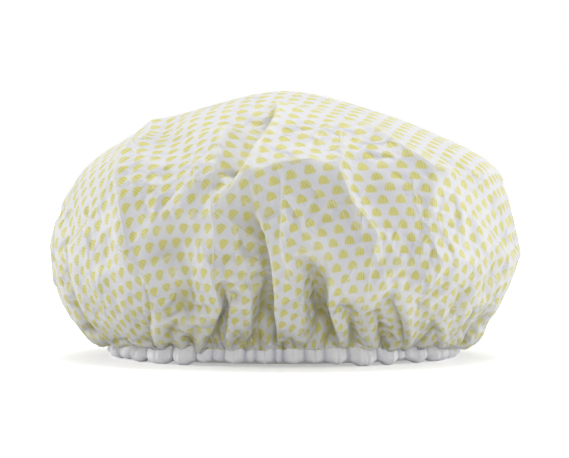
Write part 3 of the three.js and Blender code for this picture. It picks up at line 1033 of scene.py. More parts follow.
class NodeSheet:
    """A short way to lay out nodes in one tree."""

    def __init__(self, tree: NodeTree) -> None:
        """Starts on a tree of nodes."""
        self.tree = tree

    def add(self, kind: str, label: str = "", **settings: object) -> Node:
        """Adds a node with its settings.

        Args:
            kind: the node's type.
            label: what it is for.
            settings: attributes of the node.

        Returns:
            The new node.
        """
        node = self.tree.nodes.new(kind)
        node.label = label
        for name, value in settings.items():
            setattr(node, name, value)
        return node

    def link(self, source: Socket, target: Socket) -> None:
        """Joins two sockets."""
        self.tree.links.new(source, target)

    def put(self, value: object, target: Socket) -> None:
        """Links a socket, or sets a plain value."""
        if isinstance(value, Socket):
            self.link(value, target)
        else:
            target.default_value = value

    def math(self, operation: str, *values: object, label: str = "") -> Socket:
        """One sum of sockets or numbers."""
        node = self.add("ShaderNodeMath", label, operation=operation)
        for value, target in zip(values, node.inputs):
            self.put(value, target)
        return node.outputs[0]

    def ramp(self, value: object, low: float, high: float, label: str = "") -> Socket:
        """A smooth step from 0 at low to 1 at high."""
        node = self.add("ShaderNodeMapRange", label, interpolation_type="SMOOTHSTEP", clamp=True)
        self.put(value, node.inputs["Value"])
        node.inputs["From Min"].default_value = low
        node.inputs["From Max"].default_value = high
        return node.outputs["Result"]

    def scaled(self, value: object, low: float, high: float, label: str = "") -> Socket:
        """A value from 0 to 1 spread from low to high."""
        node = self.add("ShaderNodeMapRange", label, clamp=True)
        self.put(value, node.inputs["Value"])
        node.inputs["To Min"].default_value = low
        node.inputs["To Max"].default_value = high
        return node.outputs["Result"]

    def blend(self, share: object, first: object, second: object) -> Socket:
        """A mix of two colours."""
        node = self.add("ShaderNodeMix", data_type="RGBA", clamp_factor=True)
        self.put(share, node.inputs["Factor"])
        self.put(first, node.inputs[6])
        self.put(second, node.inputs[7])
        return node.outputs[2]

    def noise(self, vector: object, scale: float, detail: float = 2.0) -> Socket:
        """Soft noise at a scale in cycles for each unit."""
        node = self.add("ShaderNodeTexNoise")
        self.put(vector, node.inputs["Vector"])
        node.inputs["Scale"].default_value = scale
        node.inputs["Detail"].default_value = detail
        return node.outputs["Fac"]

    def bump(
        self, height: object, strength: float, distance: float, normal: Socket | None = None
    ) -> Socket:
        """A bump of a height in metres."""
        node = self.add("ShaderNodeBump")
        node.inputs["Strength"].default_value = strength
        node.inputs["Distance"].default_value = distance
        self.put(height, node.inputs["Height"])
        if normal is not None:
            self.link(normal, node.inputs["Normal"])
        return node.outputs["Normal"]


def group_sheet(
    name: str, values: tuple[str, ...], results: tuple[str, ...]
) -> tuple[NodeSheet, Node, Node]:
    """Starts a shader node group that works from a place on the cut.

    Args:
        name: the group's name.
        values: names of its inputs beside Place.
        results: names of its outputs.

    Returns:
        A node sheet on the group, and its input and output nodes.
    """
    tree = bpy.data.node_groups.new(name, "ShaderNodeTree")
    tree.interface.new_socket("Place", in_out="INPUT", socket_type="NodeSocketVector")
    for label in values:
        tree.interface.new_socket(label, in_out="INPUT", socket_type="NodeSocketFloat")
    for label in results:
        tree.interface.new_socket(label, in_out="OUTPUT", socket_type="NodeSocketFloat")
    sheet = NodeSheet(tree)
    return sheet, sheet.add("NodeGroupInput"), sheet.add("NodeGroupOutput")


@dataclass(frozen=True)
class SpotPrint:
    """The print: staggered rows of small striped spots, each a dome on its flat side.

    Attributes:
        pitch: distance between spots in a row.
        row: distance between rows.
        half_width: half a spot's width at its base.
        height: a spot's height.
        stripe: distance between the fine stripes in a spot.
        base: how far a spot's base lies below its middle, as a share of its height.
        corner: how round the corners at the base are.
        soft: how far the ink's edge fades to each side.
    """

    pitch: float = 10.4
    row: float = 6.9
    half_width: float = 3.2
    height: float = 4.9
    stripe: float = 1.5
    base: float = 0.46
    corner: float = 2.0
    soft: float = 0.5

    def group(self) -> NodeTree:
        """Builds the node group that draws the spots and their stripes.

        Returns:
            A group from a place on the cut film, in millimetres, to the two masks.
        """
        sheet, given, made = group_sheet("spot_print", (), ("Spot", "Stripe"))
        parts = sheet.add("ShaderNodeSeparateXYZ")
        sheet.link(given.outputs["Place"], parts.inputs[0])
        rows = sheet.math("DIVIDE", parts.outputs["Y"], self.row, label="rows")
        row = sheet.math("FLOOR", rows)
        odd = sheet.math("FLOORED_MODULO", row, 2.0, label="every other row")
        shift = sheet.math("MULTIPLY", odd, 0.5)
        columns = sheet.math("ADD", sheet.math("DIVIDE", parts.outputs["X"], self.pitch), shift)
        aside = sheet.math("SUBTRACT", sheet.math("FRACT", columns), 0.5)
        aside = sheet.math("MULTIPLY", aside, self.pitch, label="aside of the spot's middle")
        above = sheet.math("SUBTRACT", sheet.math("FRACT", rows), 0.5)
        above = sheet.math("MULTIPLY", above, self.row, label="above the spot's middle")
        rise = sheet.math("ADD", above, self.height * self.base, label="above the spot's base")
        wide = sheet.math("POWER", sheet.math("DIVIDE", aside, self.half_width), 2.0)
        tall = sheet.math("POWER", sheet.math("DIVIDE", rise, self.height), 2.0)
        dome = sheet.math("SUBTRACT", sheet.math("SQRT", sheet.math("ADD", wide, tall)), 1.0)
        dome = sheet.math("MULTIPLY", dome, self.half_width)
        edge = sheet.math("SMOOTH_MAX", dome, sheet.math("MULTIPLY", rise, -1.0), self.corner)
        outside = sheet.ramp(edge, -self.soft, self.soft, label="soft printed edge")
        spot = sheet.math("SUBTRACT", 1.0, outside)
        wave = sheet.math("SINE", sheet.math("MULTIPLY", aside, FULL_TURN / self.stripe))
        stripe = sheet.math("MULTIPLY_ADD", wave, 0.5, 0.5)
        sheet.link(spot, made.inputs["Spot"])
        sheet.link(stripe, made.inputs["Stripe"])
        return sheet.tree


@dataclass(frozen=True)
class FilmCrinkle:
    """The crinkles of thin plastic film: flat facets between sharp edges, a pale line along the edges that is
    painted highlight, and a slow change of tone.

    Attributes:
        wander: how far the facets' edges wander, at wander_scale.
        tone_scale: how finely the tone changes, in cycles for each millimetre.
        tone_step: tone where the film starts to be crumpled, and where it is fully so.
        grain: height of the fine unevenness all over, at grain_scale.
        facets: size of coarse and fine facets, and how tall they are.
        slope: how steeply a facet of height 1 falls.
        edge: distance from an edge where its painted highlight line starts to fade, and where it ends.
    """

    wander: float = 9.0
    wander_scale: float = 0.09
    tone_scale: float = 0.035
    tone_step: Span = (0.38, 0.62)
    grain: float = 0.15
    grain_scale: float = 0.7
    facets: Pairs = ((21.0, 1.5), (9.0, 0.5))
    slope: float = 0.25
    edge: Span = (0.1, 0.6)

    @cache
    def group(self) -> NodeTree:
        """Builds the node group once.

        Returns:
            A group from a place in millimetres to a height in millimetres, an edge and a tone.
        """
        sheet, given, made = group_sheet("film_crinkle", ("Scale",), ("Height", "Edge", "Tone"))
        place = sheet.add("ShaderNodeVectorMath", operation="SCALE")
        sheet.link(given.outputs["Place"], place.inputs[0])
        sheet.link(given.outputs["Scale"], place.inputs["Scale"])
        warp = sheet.add("ShaderNodeTexNoise", "edges wander")
        warp.inputs["Scale"].default_value = self.wander_scale
        sheet.link(place.outputs[0], warp.inputs["Vector"])
        bent = sheet.add("ShaderNodeVectorMath", operation="MULTIPLY_ADD")
        sheet.link(warp.outputs["Color"], bent.inputs[0])
        bent.inputs[1].default_value = (self.wander, self.wander, 0.0)
        sheet.link(place.outputs[0], bent.inputs[2])
        tone = sheet.noise(place.outputs[0], self.tone_scale)
        some = sheet.ramp(tone, *self.tone_step, label="crumpled here and smooth there")
        grain = sheet.noise(place.outputs[0], self.grain_scale, detail=4.0)
        height = sheet.math("MULTIPLY", grain, self.grain)
        edges = []
        for size, tall in self.facets:
            cells = sheet.add("ShaderNodeTexVoronoi", feature="DISTANCE_TO_EDGE")
            cells.inputs["Scale"].default_value = 1 / size
            sheet.link(bent.outputs[0], cells.inputs["Vector"])
            away = sheet.math("MULTIPLY", cells.outputs["Distance"], size)
            facet = sheet.math("MULTIPLY", sheet.math("MULTIPLY", away, -self.slope * tall), some)
            height = sheet.math("ADD", height, facet)
            # each facet edge gives a line, painted as a highlight on the film
            edges.append(sheet.math("SUBTRACT", 1.0, sheet.ramp(away, *self.edge)))
        sheet.link(height, made.inputs["Height"])
        sheet.link(sheet.math("MULTIPLY", edges[0], some), made.inputs["Edge"])
        sheet.link(tone, made.inputs["Tone"])
        return sheet.tree


def highlight_line_group(lines: tuple[np.ndarray, ...]) -> NodeTree:
    """The thin painted highlight lines along the film's sharpest folds.

    Args:
        lines: routes in millimetres on the cut.

    Returns:
        A group from a place on the cut to the distance from the nearest line, in millimetres.
    """
    sheet, given, made = group_sheet("highlight_lines", (), ("Away",))
    nearest: object = FAR
    for line in lines:
        for start, end in zip(line[:-1], line[1:]):
            span = Vector((*(end - start), 0.0))
            rel = sheet.add("ShaderNodeVectorMath", operation="SUBTRACT")
            sheet.link(given.outputs["Place"], rel.inputs[0])
            rel.inputs[1].default_value = (*start, 0.0)
            share = sheet.add("ShaderNodeVectorMath", operation="DOT_PRODUCT")
            sheet.link(rel.outputs[0], share.inputs[0])
            share.inputs[1].default_value = span / span.length_squared
            held = sheet.add("ShaderNodeClamp")
            sheet.link(share.outputs["Value"], held.inputs["Value"])
            foot = sheet.add("ShaderNodeVectorMath", operation="SCALE")
            foot.inputs[0].default_value = span
            sheet.link(held.outputs[0], foot.inputs["Scale"])
            away = sheet.add("ShaderNodeVectorMath", operation="DISTANCE")
            sheet.link(rel.outputs[0], away.inputs[0])
            sheet.link(foot.outputs[0], away.inputs[1])
            nearest = sheet.math("MINIMUM", nearest, away.outputs["Value"])
    sheet.put(nearest, made.inputs["Away"])
    return sheet.tree


@cache
def weave_group() -> NodeTree:
    """A fine plain weave, as a height.

    Returns:
        A group from a place on the cloth, in millimetres, to a height from 0 to 1.
    """
    sheet, given, made = group_sheet("plain_weave", ("Yarn",), ("Height",))
    parts = sheet.add("ShaderNodeSeparateXYZ")
    sheet.link(given.outputs["Place"], parts.inputs[0])
    turn = sheet.math("DIVIDE", math.pi, given.outputs["Yarn"])
    warp = sheet.math("SINE", sheet.math("MULTIPLY", parts.outputs["X"], turn))
    weft = sheet.math("SINE", sheet.math("MULTIPLY", parts.outputs["Y"], turn))
    over = sheet.math("MULTIPLY", warp, weft)
    sheet.link(sheet.math("MULTIPLY_ADD", over, 0.5, 0.5), made.inputs["Height"])
    return sheet.tree


class Finish:
    """What every finish shares: a material with one Principled shader."""

    def start(self, name: str) -> tuple[Material, NodeSheet, Node]:
        """Starts a material.

        Args:
            name: its name.

        Returns:
            The material, a sheet for its nodes and its Principled shader.
        """
        material = bpy.data.materials.new(name)
        material.use_nodes = True
        sheet = NodeSheet(material.node_tree)
        return material, sheet, material.node_tree.nodes["Principled BSDF"]

    def cut_place(self, sheet: NodeSheet, scale: float) -> Socket:
        """A piece's own UV map, scaled to millimetres on the flat cut."""
        cut = sheet.add("ShaderNodeUVMap", uv_map="cut")
        place = sheet.add("ShaderNodeVectorMath", "millimetres on the cut", operation="SCALE")
        sheet.link(cut.outputs[0], place.inputs[0])
        place.inputs["Scale"].default_value = scale
        return place.outputs[0]

    def use(self, sheet: NodeSheet, tree: NodeTree, **values: object) -> Node:
        """Places a node group with its values."""
        node = sheet.add("ShaderNodeGroup", node_tree=tree)
        for name, value in values.items():
            sheet.put(value, node.inputs[name])
        return node

    def let_through(self, sheet: NodeSheet, shader: Node, colour: object, share: float) -> None:
        """Lets some light through a thin sheet.

        Args:
            sheet: the material's nodes.
            shader: its Principled shader.
            colour: the colour that light takes on the way.
            share: how much goes through.
        """
        through = sheet.add("ShaderNodeBsdfTranslucent")
        sheet.put(colour, through.inputs["Color"])
        mixed = sheet.add("ShaderNodeMixShader")
        mixed.inputs["Fac"].default_value = share
        sheet.link(shader.outputs[0], mixed.inputs[1])
        sheet.link(through.outputs[0], mixed.inputs[2])
        sheet.link(mixed.outputs[0], sheet.tree.nodes["Material Output"].inputs["Surface"])


@dataclass(frozen=True)
class PrintedFilm(Finish):
    """White film with a yellow print, glossy and a little see-through, with painted highlights on its crests and
    folds and painted shade in its hollows.

    A share says how much of a colour shows, and a span is a least and a greatest value.

    Attributes:
        cut_width: the flat disc's width, in millimetres.
        lines: routes of the folds with painted highlight lines, on the cut, in millimetres.
        turn: how far the print's rows are turned on the disc, in degrees.
        thin_ink: how thick the ink is where it is thinnest.
        line_width: distance from such a fold where its painted highlight line starts to fade, and where it ends.
        line_least: how strong that line is where it is faintest.
    """

    cut_width: float
    lines: tuple[np.ndarray, ...]
    turn: float = -27.0
    white: Colour = (0.855, 0.855, 0.885, 1.0)
    yellow: Colour = (0.83, 0.80, 0.27, 1.0)
    stripe: Colour = (0.71, 0.65, 0.13, 1.0)
    # pale colour of the painted highlights on crests, fold lines and facet edges
    crest: Colour = (0.94, 0.94, 0.86, 1.0)
    # olive of the painted shade in deep folds
    hollow: Colour = (0.50, 0.44, 0.10, 1.0)
    spots: SpotPrint = SpotPrint()
    stripe_share: float = 0.75
    thin_ink: float = 0.86
    hollow_shade_share: float = 0.8
    crest_highlight_share: float = 0.45
    line_width: Span = (0.25, 0.95)
    line_least: float = 0.45
    line_highlight_share: float = 0.85
    line_height: float = 0.35
    edge_highlight_share: float = 0.35
    rough: Span = (0.36, 0.50)
    gloss: float = 0.45
    bump: float = 0.85
    through: float = 0.25

    def material(self) -> Material:
        """Builds the film's material."""
        material, sheet, shader = self.start("printed_film")
        place = self.cut_place(sheet, self.cut_width)
        turned = sheet.add("ShaderNodeMapping", "turn the print")
        turned.inputs["Rotation"].default_value = (0.0, 0.0, math.radians(self.turn))
        sheet.link(place, turned.inputs["Vector"])
        print_node = self.use(sheet, self.spots.group(), Place=turned.outputs[0])
        crinkle = self.use(sheet, FilmCrinkle().group(), Place=place, Scale=1.0)
        highlit = self.use(sheet, highlight_line_group(self.lines), Place=place).outputs["Away"]
        stripe = sheet.scaled(print_node.outputs["Stripe"], 0.0, self.stripe_share)
        ink = sheet.blend(stripe, self.yellow, self.stripe)
        thin = sheet.scaled(crinkle.outputs["Tone"], self.thin_ink, 1.0, label="ink lies unevenly")
        spot = sheet.math("MULTIPLY", print_node.outputs["Spot"], thin)
        colour = sheet.blend(spot, self.white, ink)
        # hollow mask darkens deep folds towards olive: painted shade, tinted like light through stacked yellow
        # print
        hollow = sheet.add("ShaderNodeAttribute", attribute_name="hollow").outputs["Fac"]
        # crest mask: painted highlight on sharp ridges
        crest = sheet.add("ShaderNodeAttribute", attribute_name="crest").outputs["Fac"]
        colour = sheet.blend(sheet.math("MULTIPLY", hollow, self.hollow_shade_share), colour, self.hollow)
        # pale line painted along the chosen folds: painted highlight, with a real bump of line_height
        line = sheet.math("SUBTRACT", 1.0, sheet.ramp(highlit, *self.line_width, label="pale worn line"))
        line = sheet.math("MULTIPLY", line, sheet.scaled(crinkle.outputs["Tone"], self.line_least, 1.0))
        # crest mask and fold lines together: painted highlight
        highlight_mask = sheet.math("MULTIPLY", crest, self.crest_highlight_share)
        highlight_mask = sheet.math("MAXIMUM", highlight_mask, sheet.math("MULTIPLY", line, self.line_highlight_share))
        # pale lines along the crinkles' facet edges: painted highlight
        edge = sheet.math("MULTIPLY", crinkle.outputs["Edge"], self.edge_highlight_share)
        colour = sheet.blend(sheet.math("MAXIMUM", highlight_mask, edge), colour, self.crest)
        sheet.link(colour, shader.inputs["Base Color"])
        sheet.link(sheet.scaled(crinkle.outputs["Tone"], *self.rough), shader.inputs["Roughness"])
        shader.inputs["Specular IOR Level"].default_value = self.gloss
        height = sheet.math("MULTIPLY_ADD", line, self.line_height, crinkle.outputs["Height"])
        sheet.link(sheet.bump(height, self.bump, MM), shader.inputs["Normal"])
        self.let_through(sheet, shader, colour, self.through)
        return material


@dataclass(frozen=True)
class LiningFilm(Finish):
    """Plain milky film inside the cap, with its crinkles' scale and the light that it lets through."""

    cut_width: float
    milk: Colour = (0.80, 0.80, 0.84, 1.0)
    shade: Colour = (0.68, 0.69, 0.74, 1.0)
    crinkle: float = 0.8
    rough: Span = (0.40, 0.55)
    bump: float = 0.5
    through: float = 0.3

    def material(self) -> Material:
        """Builds the lining's material."""
        material, sheet, shader = self.start("lining_film")
        place = self.cut_place(sheet, self.cut_width)
        crinkle = self.use(sheet, FilmCrinkle().group(), Place=place, Scale=self.crinkle)
        colour = sheet.blend(crinkle.outputs["Tone"], self.shade, self.milk)
        sheet.link(colour, shader.inputs["Base Color"])
        sheet.link(sheet.scaled(crinkle.outputs["Tone"], *self.rough), shader.inputs["Roughness"])
        sheet.link(sheet.bump(crinkle.outputs["Height"], self.bump, MM), shader.inputs["Normal"])
        self.let_through(sheet, shader, colour, self.through)
        return material


@dataclass(frozen=True)
class BindingSatin(Finish):
    """White satin of the gathered hem, with a fine weave and puckers along its creases.

    Attributes:
        stretch: scale of the puckers along the strip, up it and through it.
        pucker_step: pucker where its shade starts, and where it is full.
        sheen: weight and roughness of the sheen.
        pucker_bump: strength of the puckers, and their height in metres.
        weave_bump: the same for the weave.
    """

    white: Colour = (0.95, 0.95, 0.98, 1.0)
    shade: Colour = (0.62, 0.62, 0.72, 1.0)
    yarn: float = 0.35
    stretch: tuple[float, float, float] = (1.0, 0.12, 1.0)
    pucker_scale: float = 0.55
    pucker_step: Span = (0.35, 0.75)
    pucker_share: float = 0.2
    crease_share: float = 0.75
    rough: Span = (0.45, 0.62)
    sheen: Span = (0.25, 0.4)
    pucker_bump: Span = (0.6, 0.0012)
    weave_bump: Span = (0.25, 0.0001)

    def material(self) -> Material:
        """Builds the binding's material."""
        material, sheet, shader = self.start("binding_satin")
        place = self.cut_place(sheet, 1 / MM)
        weave = self.use(sheet, weave_group(), Place=place, Yarn=self.yarn)
        stretch = sheet.add("ShaderNodeMapping", "puckers run up the band")
        stretch.inputs["Scale"].default_value = self.stretch
        sheet.link(place, stretch.inputs["Vector"])
        pucker = sheet.noise(stretch.outputs[0], self.pucker_scale, detail=3.0)
        crease = sheet.add("ShaderNodeAttribute", attribute_name="crease").outputs["Fac"]
        lines = sheet.ramp(pucker, *self.pucker_step)
        deep = sheet.math("MULTIPLY", crease, self.crease_share)
        tone = sheet.math("MULTIPLY_ADD", lines, self.pucker_share, deep)
        sheet.link(sheet.blend(tone, self.white, self.shade), shader.inputs["Base Color"])
        sheet.link(sheet.scaled(pucker, *self.rough), shader.inputs["Roughness"])
        for name, value in zip(("Sheen Weight", "Sheen Roughness"), self.sheen):
            shader.inputs[name].default_value = value
        folds = sheet.bump(pucker, *self.pucker_bump)
        sheet.link(sheet.bump(weave.outputs["Height"], *self.weave_bump, folds), shader.inputs["Normal"])
        return material


@dataclass(frozen=True)
class KnittedElastic(Finish):
    """White knitted elastic, darkened towards the grooves of its ribs as painted shade. The relief is a strength
    and a height in metres.
    """

    white: Colour = (0.76, 0.76, 0.74, 1.0)
    groove_shade: Colour = (0.55, 0.55, 0.54, 1.0)
    yarn: float = 0.6
    rough: Span = (0.85, 0.65)
    relief: Span = (0.7, 0.0003)

    def material(self) -> Material:
        """Builds the elastic's material."""
        material, sheet, shader = self.start("knitted_elastic")
        place = self.cut_place(sheet, 1 / MM)
        rib = self.use(sheet, weave_group(), Place=place, Yarn=self.yarn).outputs["Height"]
        # the ribs' grooves are darkened: painted shade
        sheet.link(sheet.blend(rib, self.groove_shade, self.white), shader.inputs["Base Color"])
        sheet.link(sheet.scaled(rib, *self.rough), shader.inputs["Roughness"])
        sheet.link(sheet.bump(rib, *self.relief), shader.inputs["Normal"])
        return material


@dataclass(frozen=True)
class SpunThread(Finish):
    """White spun thread, darkened in the grooves between its plies as painted shade.

    Attributes:
        twist: length of one turn of its twist.
        girth: the thread's girth.
        relief: strength of its plies, and their height in metres.
    """

    white: Colour = (0.82, 0.82, 0.85, 1.0)
    groove_shade: Colour = (0.60, 0.60, 0.66, 1.0)
    twist: float = 0.6
    girth: float = 1.26
    rough: Span = (0.7, 0.5)
    relief: Span = (0.6, 0.0001)

    def material(self) -> Material:
        """Builds the thread's material."""
        material, sheet, shader = self.start("spun_thread")
        place = self.cut_place(sheet, 1 / MM)
        parts = sheet.add("ShaderNodeSeparateXYZ")
        sheet.link(place, parts.inputs[0])
        along = sheet.math("MULTIPLY", parts.outputs["X"], FULL_TURN / self.twist)
        lean = sheet.math("MULTIPLY_ADD", parts.outputs["Y"], FULL_TURN / self.girth, along)
        ply = sheet.math("MULTIPLY_ADD", sheet.math("SINE", lean), 0.5, 0.5)
        # the grooves between the plies are darkened: painted shade
        sheet.link(sheet.blend(ply, self.groove_shade, self.white), shader.inputs["Base Color"])
        sheet.link(sheet.scaled(ply, *self.rough), shader.inputs["Roughness"])
        sheet.link(sheet.bump(ply, *self.relief), shader.inputs["Normal"])
        return material


@dataclass
class OuterFilm:
    """The disc of printed film.

    Attributes:
        lines: routes of the folds with painted highlight lines, in millimetres from the disc's middle.
        crest_highlight_from: how far a crest stands out where its painted highlight starts.
        crest_highlight_sharp: how much further where that painted highlight is palest.
        hollow_shade_from: depth where the painted shade in a hollow starts.
        hollow_shade_deep: how much deeper where that painted shade is darkest.
        hollow_shade_reach: how far up from the hem the hollows get painted shade, down to the least share given
            for the crown.
        wide_passes: how often the film is smoothed to tell a hollow.
        hem_bare: width of the edge without painted crest highlights.
    """

    level: FilmLevel
    points: np.ndarray
    lines: list[np.ndarray]
    crest_highlight_from: float = 0.02
    crest_highlight_sharp: float = 0.10
    hollow_shade_from: float = 0.3
    hollow_shade_deep: float = 1.4
    hollow_shade_reach: float = 110.0
    hollow_shade_least: float = 0.25
    wide_passes: int = 24
    hem_bare: float = 8.0

    def relief(self) -> tuple[np.ndarray, np.ndarray]:
        """How far each place stands out as a sharp crest, for a painted highlight, or sinks in as a hollow, for
        painted shade.

        Returns:
            Two grids of values from 0 to 1.
        """
        normals = grid_normals(self.points)
        sharp = ((self.points - smoothed_places(self.points, 1)) * normals).sum(-1)
        deep = ((smoothed_places(self.points, self.wide_passes) - self.points) * normals).sum(-1)
        # crest: painted highlight on sharp ridges, from how far a place stands out of its neighbours
        crest = np.clip((sharp - self.crest_highlight_from) / self.crest_highlight_sharp, 0.0, 1.0)
        low = np.clip((self.hollow_shade_reach - self.level.up) / self.hollow_shade_reach, self.hollow_shade_least, 1.0)
        # hollow: painted shade in deep folds, strongest towards the hem
        hollow = np.clip((deep - self.hollow_shade_from) / self.hollow_shade_deep, 0.0, 1.0)
        return crest * (self.level.up > self.hem_bare), smoothed(hollow * low, 1)

    def build(self) -> Piece:
        """Makes the film and dresses it."""
        piece = MeshMaker.sheet("outer_film", self.points)
        MeshMaker.unwrap(piece, self.level.cut())
        crest, hollow = self.relief()
        # the crest and hollow masks carry painted highlight and painted shade into the material
        MeshMaker.paint(piece, "crest", crest)
        MeshMaker.paint(piece, "hollow", hollow)
        width = self.level.width()
        lines = tuple(line + width / 2 for line in self.lines)
        MeshMaker.dress(piece, "outer_shell", Slot.PRINTED_FILM, PrintedFilm(width, lines).material())
        return piece


@dataclass
class Lining:
    """The plain disc inside the film, which lies against it and bridges its sharp folds.

    Attributes:
        gap: room between film and lining.
        hem_gap: way up from the edge, and more room there.
        bridge: how much of a fold's depth, up to bridge_most, the lining keeps clear of.
        hem_bare: width of the edge where it bridges nothing.
        step: how many of the film's cells make one of the lining's.
        reach: how many cells round a place are looked at for folds.
    """

    level: FilmLevel
    points: np.ndarray
    gap: float = 0.7
    hem_gap: Pairs = ((5.0, 0.0), (9.0, 1.1), (22.0, 1.1), (34.0, 0.0))
    bridge: float = 0.8
    bridge_most: float = 3.0
    hem_bare: float = 8.0
    step: int = 2
    reach: int = 2

    def build(self) -> Piece:
        """Makes the lining and dresses it."""
        normals = grid_normals(self.points)
        side = len(self.points)
        padded = np.pad(self.points, ((self.reach,) * 2, (self.reach,) * 2, (0, 0)), mode="edge")
        sunk = np.zeros((side, side))
        for down in range(2 * self.reach + 1):
            for right in range(2 * self.reach + 1):
                near = padded[down : down + side, right : right + side]
                sunk = np.maximum(sunk, ((self.points - near) * normals).sum(-1))
        bridged = self.bridge * np.clip(smoothed(sunk, 1), 0.0, self.bridge_most)
        inset = self.gap + bridged * (self.level.up > self.hem_bare)
        inset += at_pairs(self.level.up, self.hem_gap)
        points = (self.points - normals * inset[..., None])[:: self.step, :: self.step]
        piece = MeshMaker.sheet("lining", points)
        MeshMaker.unwrap(piece, self.level.cut()[:: self.step, :: self.step])
        finish = LiningFilm(self.level.width())
        MeshMaker.dress(piece, "waterproof_lining", Slot.LINING_FILM, finish.material())
        return piece


@dataclass
class HemBinding:
    """The white strip folded over the raw edges, puffed out by the gathers.

    Attributes:
        section: height, then how far out of the elastic the strip lies in a crease and on a puff,
            down the outside and up the inside.
        lift: how far a crease's lower edge stands off the ground.
        lift_sharp: how quickly that edge drops beside a crease.
        taper: how much narrower a puff is at the strip's upper edge.
        pucker: how far fine puckers stand out.
        pucker_turns: fewest and most puckers in one round.
        edge_drift: how far the upper edge wanders up and down, in edge_turns waves.
        edge_sharp: how quickly this dies out below it.
        waves: how many waves make up such a line.
        crease_swell: swell of a puff where the shade of a crease ends.
        film_gap: room between the strip and film that hangs over it.
        film_zone: where such film is, as the way up from the film's edge.
        film_over: how far above the strip it is still kept off.
    """

    gather: HemGather
    section: tuple[tuple[float, float, float], ...] = (
        (12.3, 0.4, 3.4), (11.9, 0.8, 4.3), (10.6, 0.9, 5.1), (8.6, 0.8, 5.9), (6.6, 0.8, 6.6),
        (4.6, 0.8, 7.1), (2.9, 0.8, 7.2), (1.5, 0.7, 6.4), (0.5, 0.4, 4.8), (0.0, 0.1, 2.2),
        (0.2, -0.3, -0.2), (1.0, -0.7, -1.2), (2.4, -0.9, -1.9), (4.4, -0.9, -2.1), (6.4, -0.9, -1.7),
        (8.2, -0.8, 0.2), (9.8, -0.6, 2.0), (11.2, -0.4, 3.0), (12.0, 0.0, 3.6),
    )
    lift: float = 3.0
    lift_sharp: int = 3
    taper: float = 0.8
    pucker: float = 0.45
    pucker_turns: tuple[int, int] = (70, 190)
    edge_drift: float = 1.1
    edge_turns: tuple[int, int] = (15, 60)
    edge_sharp: int = 3
    waves: int = 9
    crease_swell: float = 0.55
    film_gap: float = 0.6
    film_zone: Span = (4.0, 60.0)
    film_over: float = 0.5
    film_passes: int = 3
    stations: int = 1260
    seed: int = 9

    def _wander(self, angle: np.ndarray, turns: tuple[int, int], seed: int) -> np.ndarray:
        """A smooth random line round the hem, about -1 to 1.

        Args:
            angle: angles along the cloth.
            turns: fewest and most waves in one round.
            seed: start of the random numbers.

        Returns:
            A value for each angle.
        """
        rng = np.random.default_rng(seed)
        waves = rng.integers(*turns, self.waves)
        starts = rng.uniform(0.0, FULL_TURN, self.waves)
        return np.sin(angle[..., None] * waves + starts).sum(-1) / math.sqrt(self.waves)

    def surface(self, angle: np.ndarray, height: Values, crease: Values, puff: Values) -> np.ndarray:
        """Points of the strip at places of its section, round the hem."""
        _, swell = self.gather.at(angle)
        full = np.clip(swell, 0.0, 1.0)
        up = height / self.section[0][0]
        ripple = self.pucker * self._wander(angle, self.pucker_turns, self.seed) * full
        out = crease + (puff - crease) * swell * full ** (self.taper * up)
        out = out + np.where(puff > crease, ripple, 0.0)
        rise = height + self.lift * (1 - full**self.lift_sharp) * (1 - up)
        drift = self.edge_drift * up**self.edge_sharp
        rise = rise + drift * self._wander(angle, self.edge_turns, self.seed + 1)
        return self.gather.place(angle, out, rise)

    def face(self, angle: np.ndarray, height: Values, side: StripSide) -> np.ndarray:
        """Points on the strip's outer or inner face at heights, round the hem."""
        heights, creases, puffs = np.array(self.section).T
        split = int(np.argmin(heights))
        rows = slice(0, split + 1) if side is StripSide.OUTSIDE else slice(split, None)
        rising = np.arange(len(heights))[rows][np.argsort(heights[rows])]
        crease = np.interp(height, heights[rising], creases[rising])
        puff = np.interp(height, heights[rising], puffs[rising])
        return self.surface(angle, height, crease, puff)

    def keep_off(self, level: FilmLevel, points: np.ndarray) -> np.ndarray:
        """Moves film that hangs over the strip to the strip's outside.

        Args:
            level: the film's grid.
            points: where the film lies.

        Returns:
            Where the film lies clear of the strip.
        """
        oval = np.array(self.gather.shape.elastic_half)
        top = self.section[0][0]
        turn = np.arctan2(points[..., 1] / oval[1], points[..., 0] / oval[0])
        face = self.face(turn, np.clip(points[..., 2], 0.0, top), StripSide.OUTSIDE)
        have = np.linalg.norm(points[..., :2] / oval, axis=-1)
        need = np.linalg.norm(face[..., :2] / oval, axis=-1) + self.film_gap / oval.min()
        first, last = self.film_zone
        over = (level.up > first) & (level.up < last) & (points[..., 2] < top + self.film_over)
        push = smoothed(np.where(over, np.maximum(need - have, 0.0), 0.0), self.film_passes)
        points = points.copy()
        points[..., :2] *= (1 + push / np.maximum(have, TINY))[..., None]
        return points

    def build(self) -> Piece:
        """Makes the strip and dresses it."""
        angle = np.linspace(0.0, FULL_TURN, self.stations, endpoint=False)
        points = np.stack([self.surface(angle, *place) for place in self.section], 1)
        _, swell = self.gather.at(angle)
        crease = np.clip(1 - swell / self.crease_swell, 0.0, 1.0)
        piece = MeshMaker.ring("hem_binding_strip", points, crease=crease)
        MeshMaker.dress(piece, "hem_binding", Slot.BINDING_CLOTH, BindingSatin().material())
        return piece


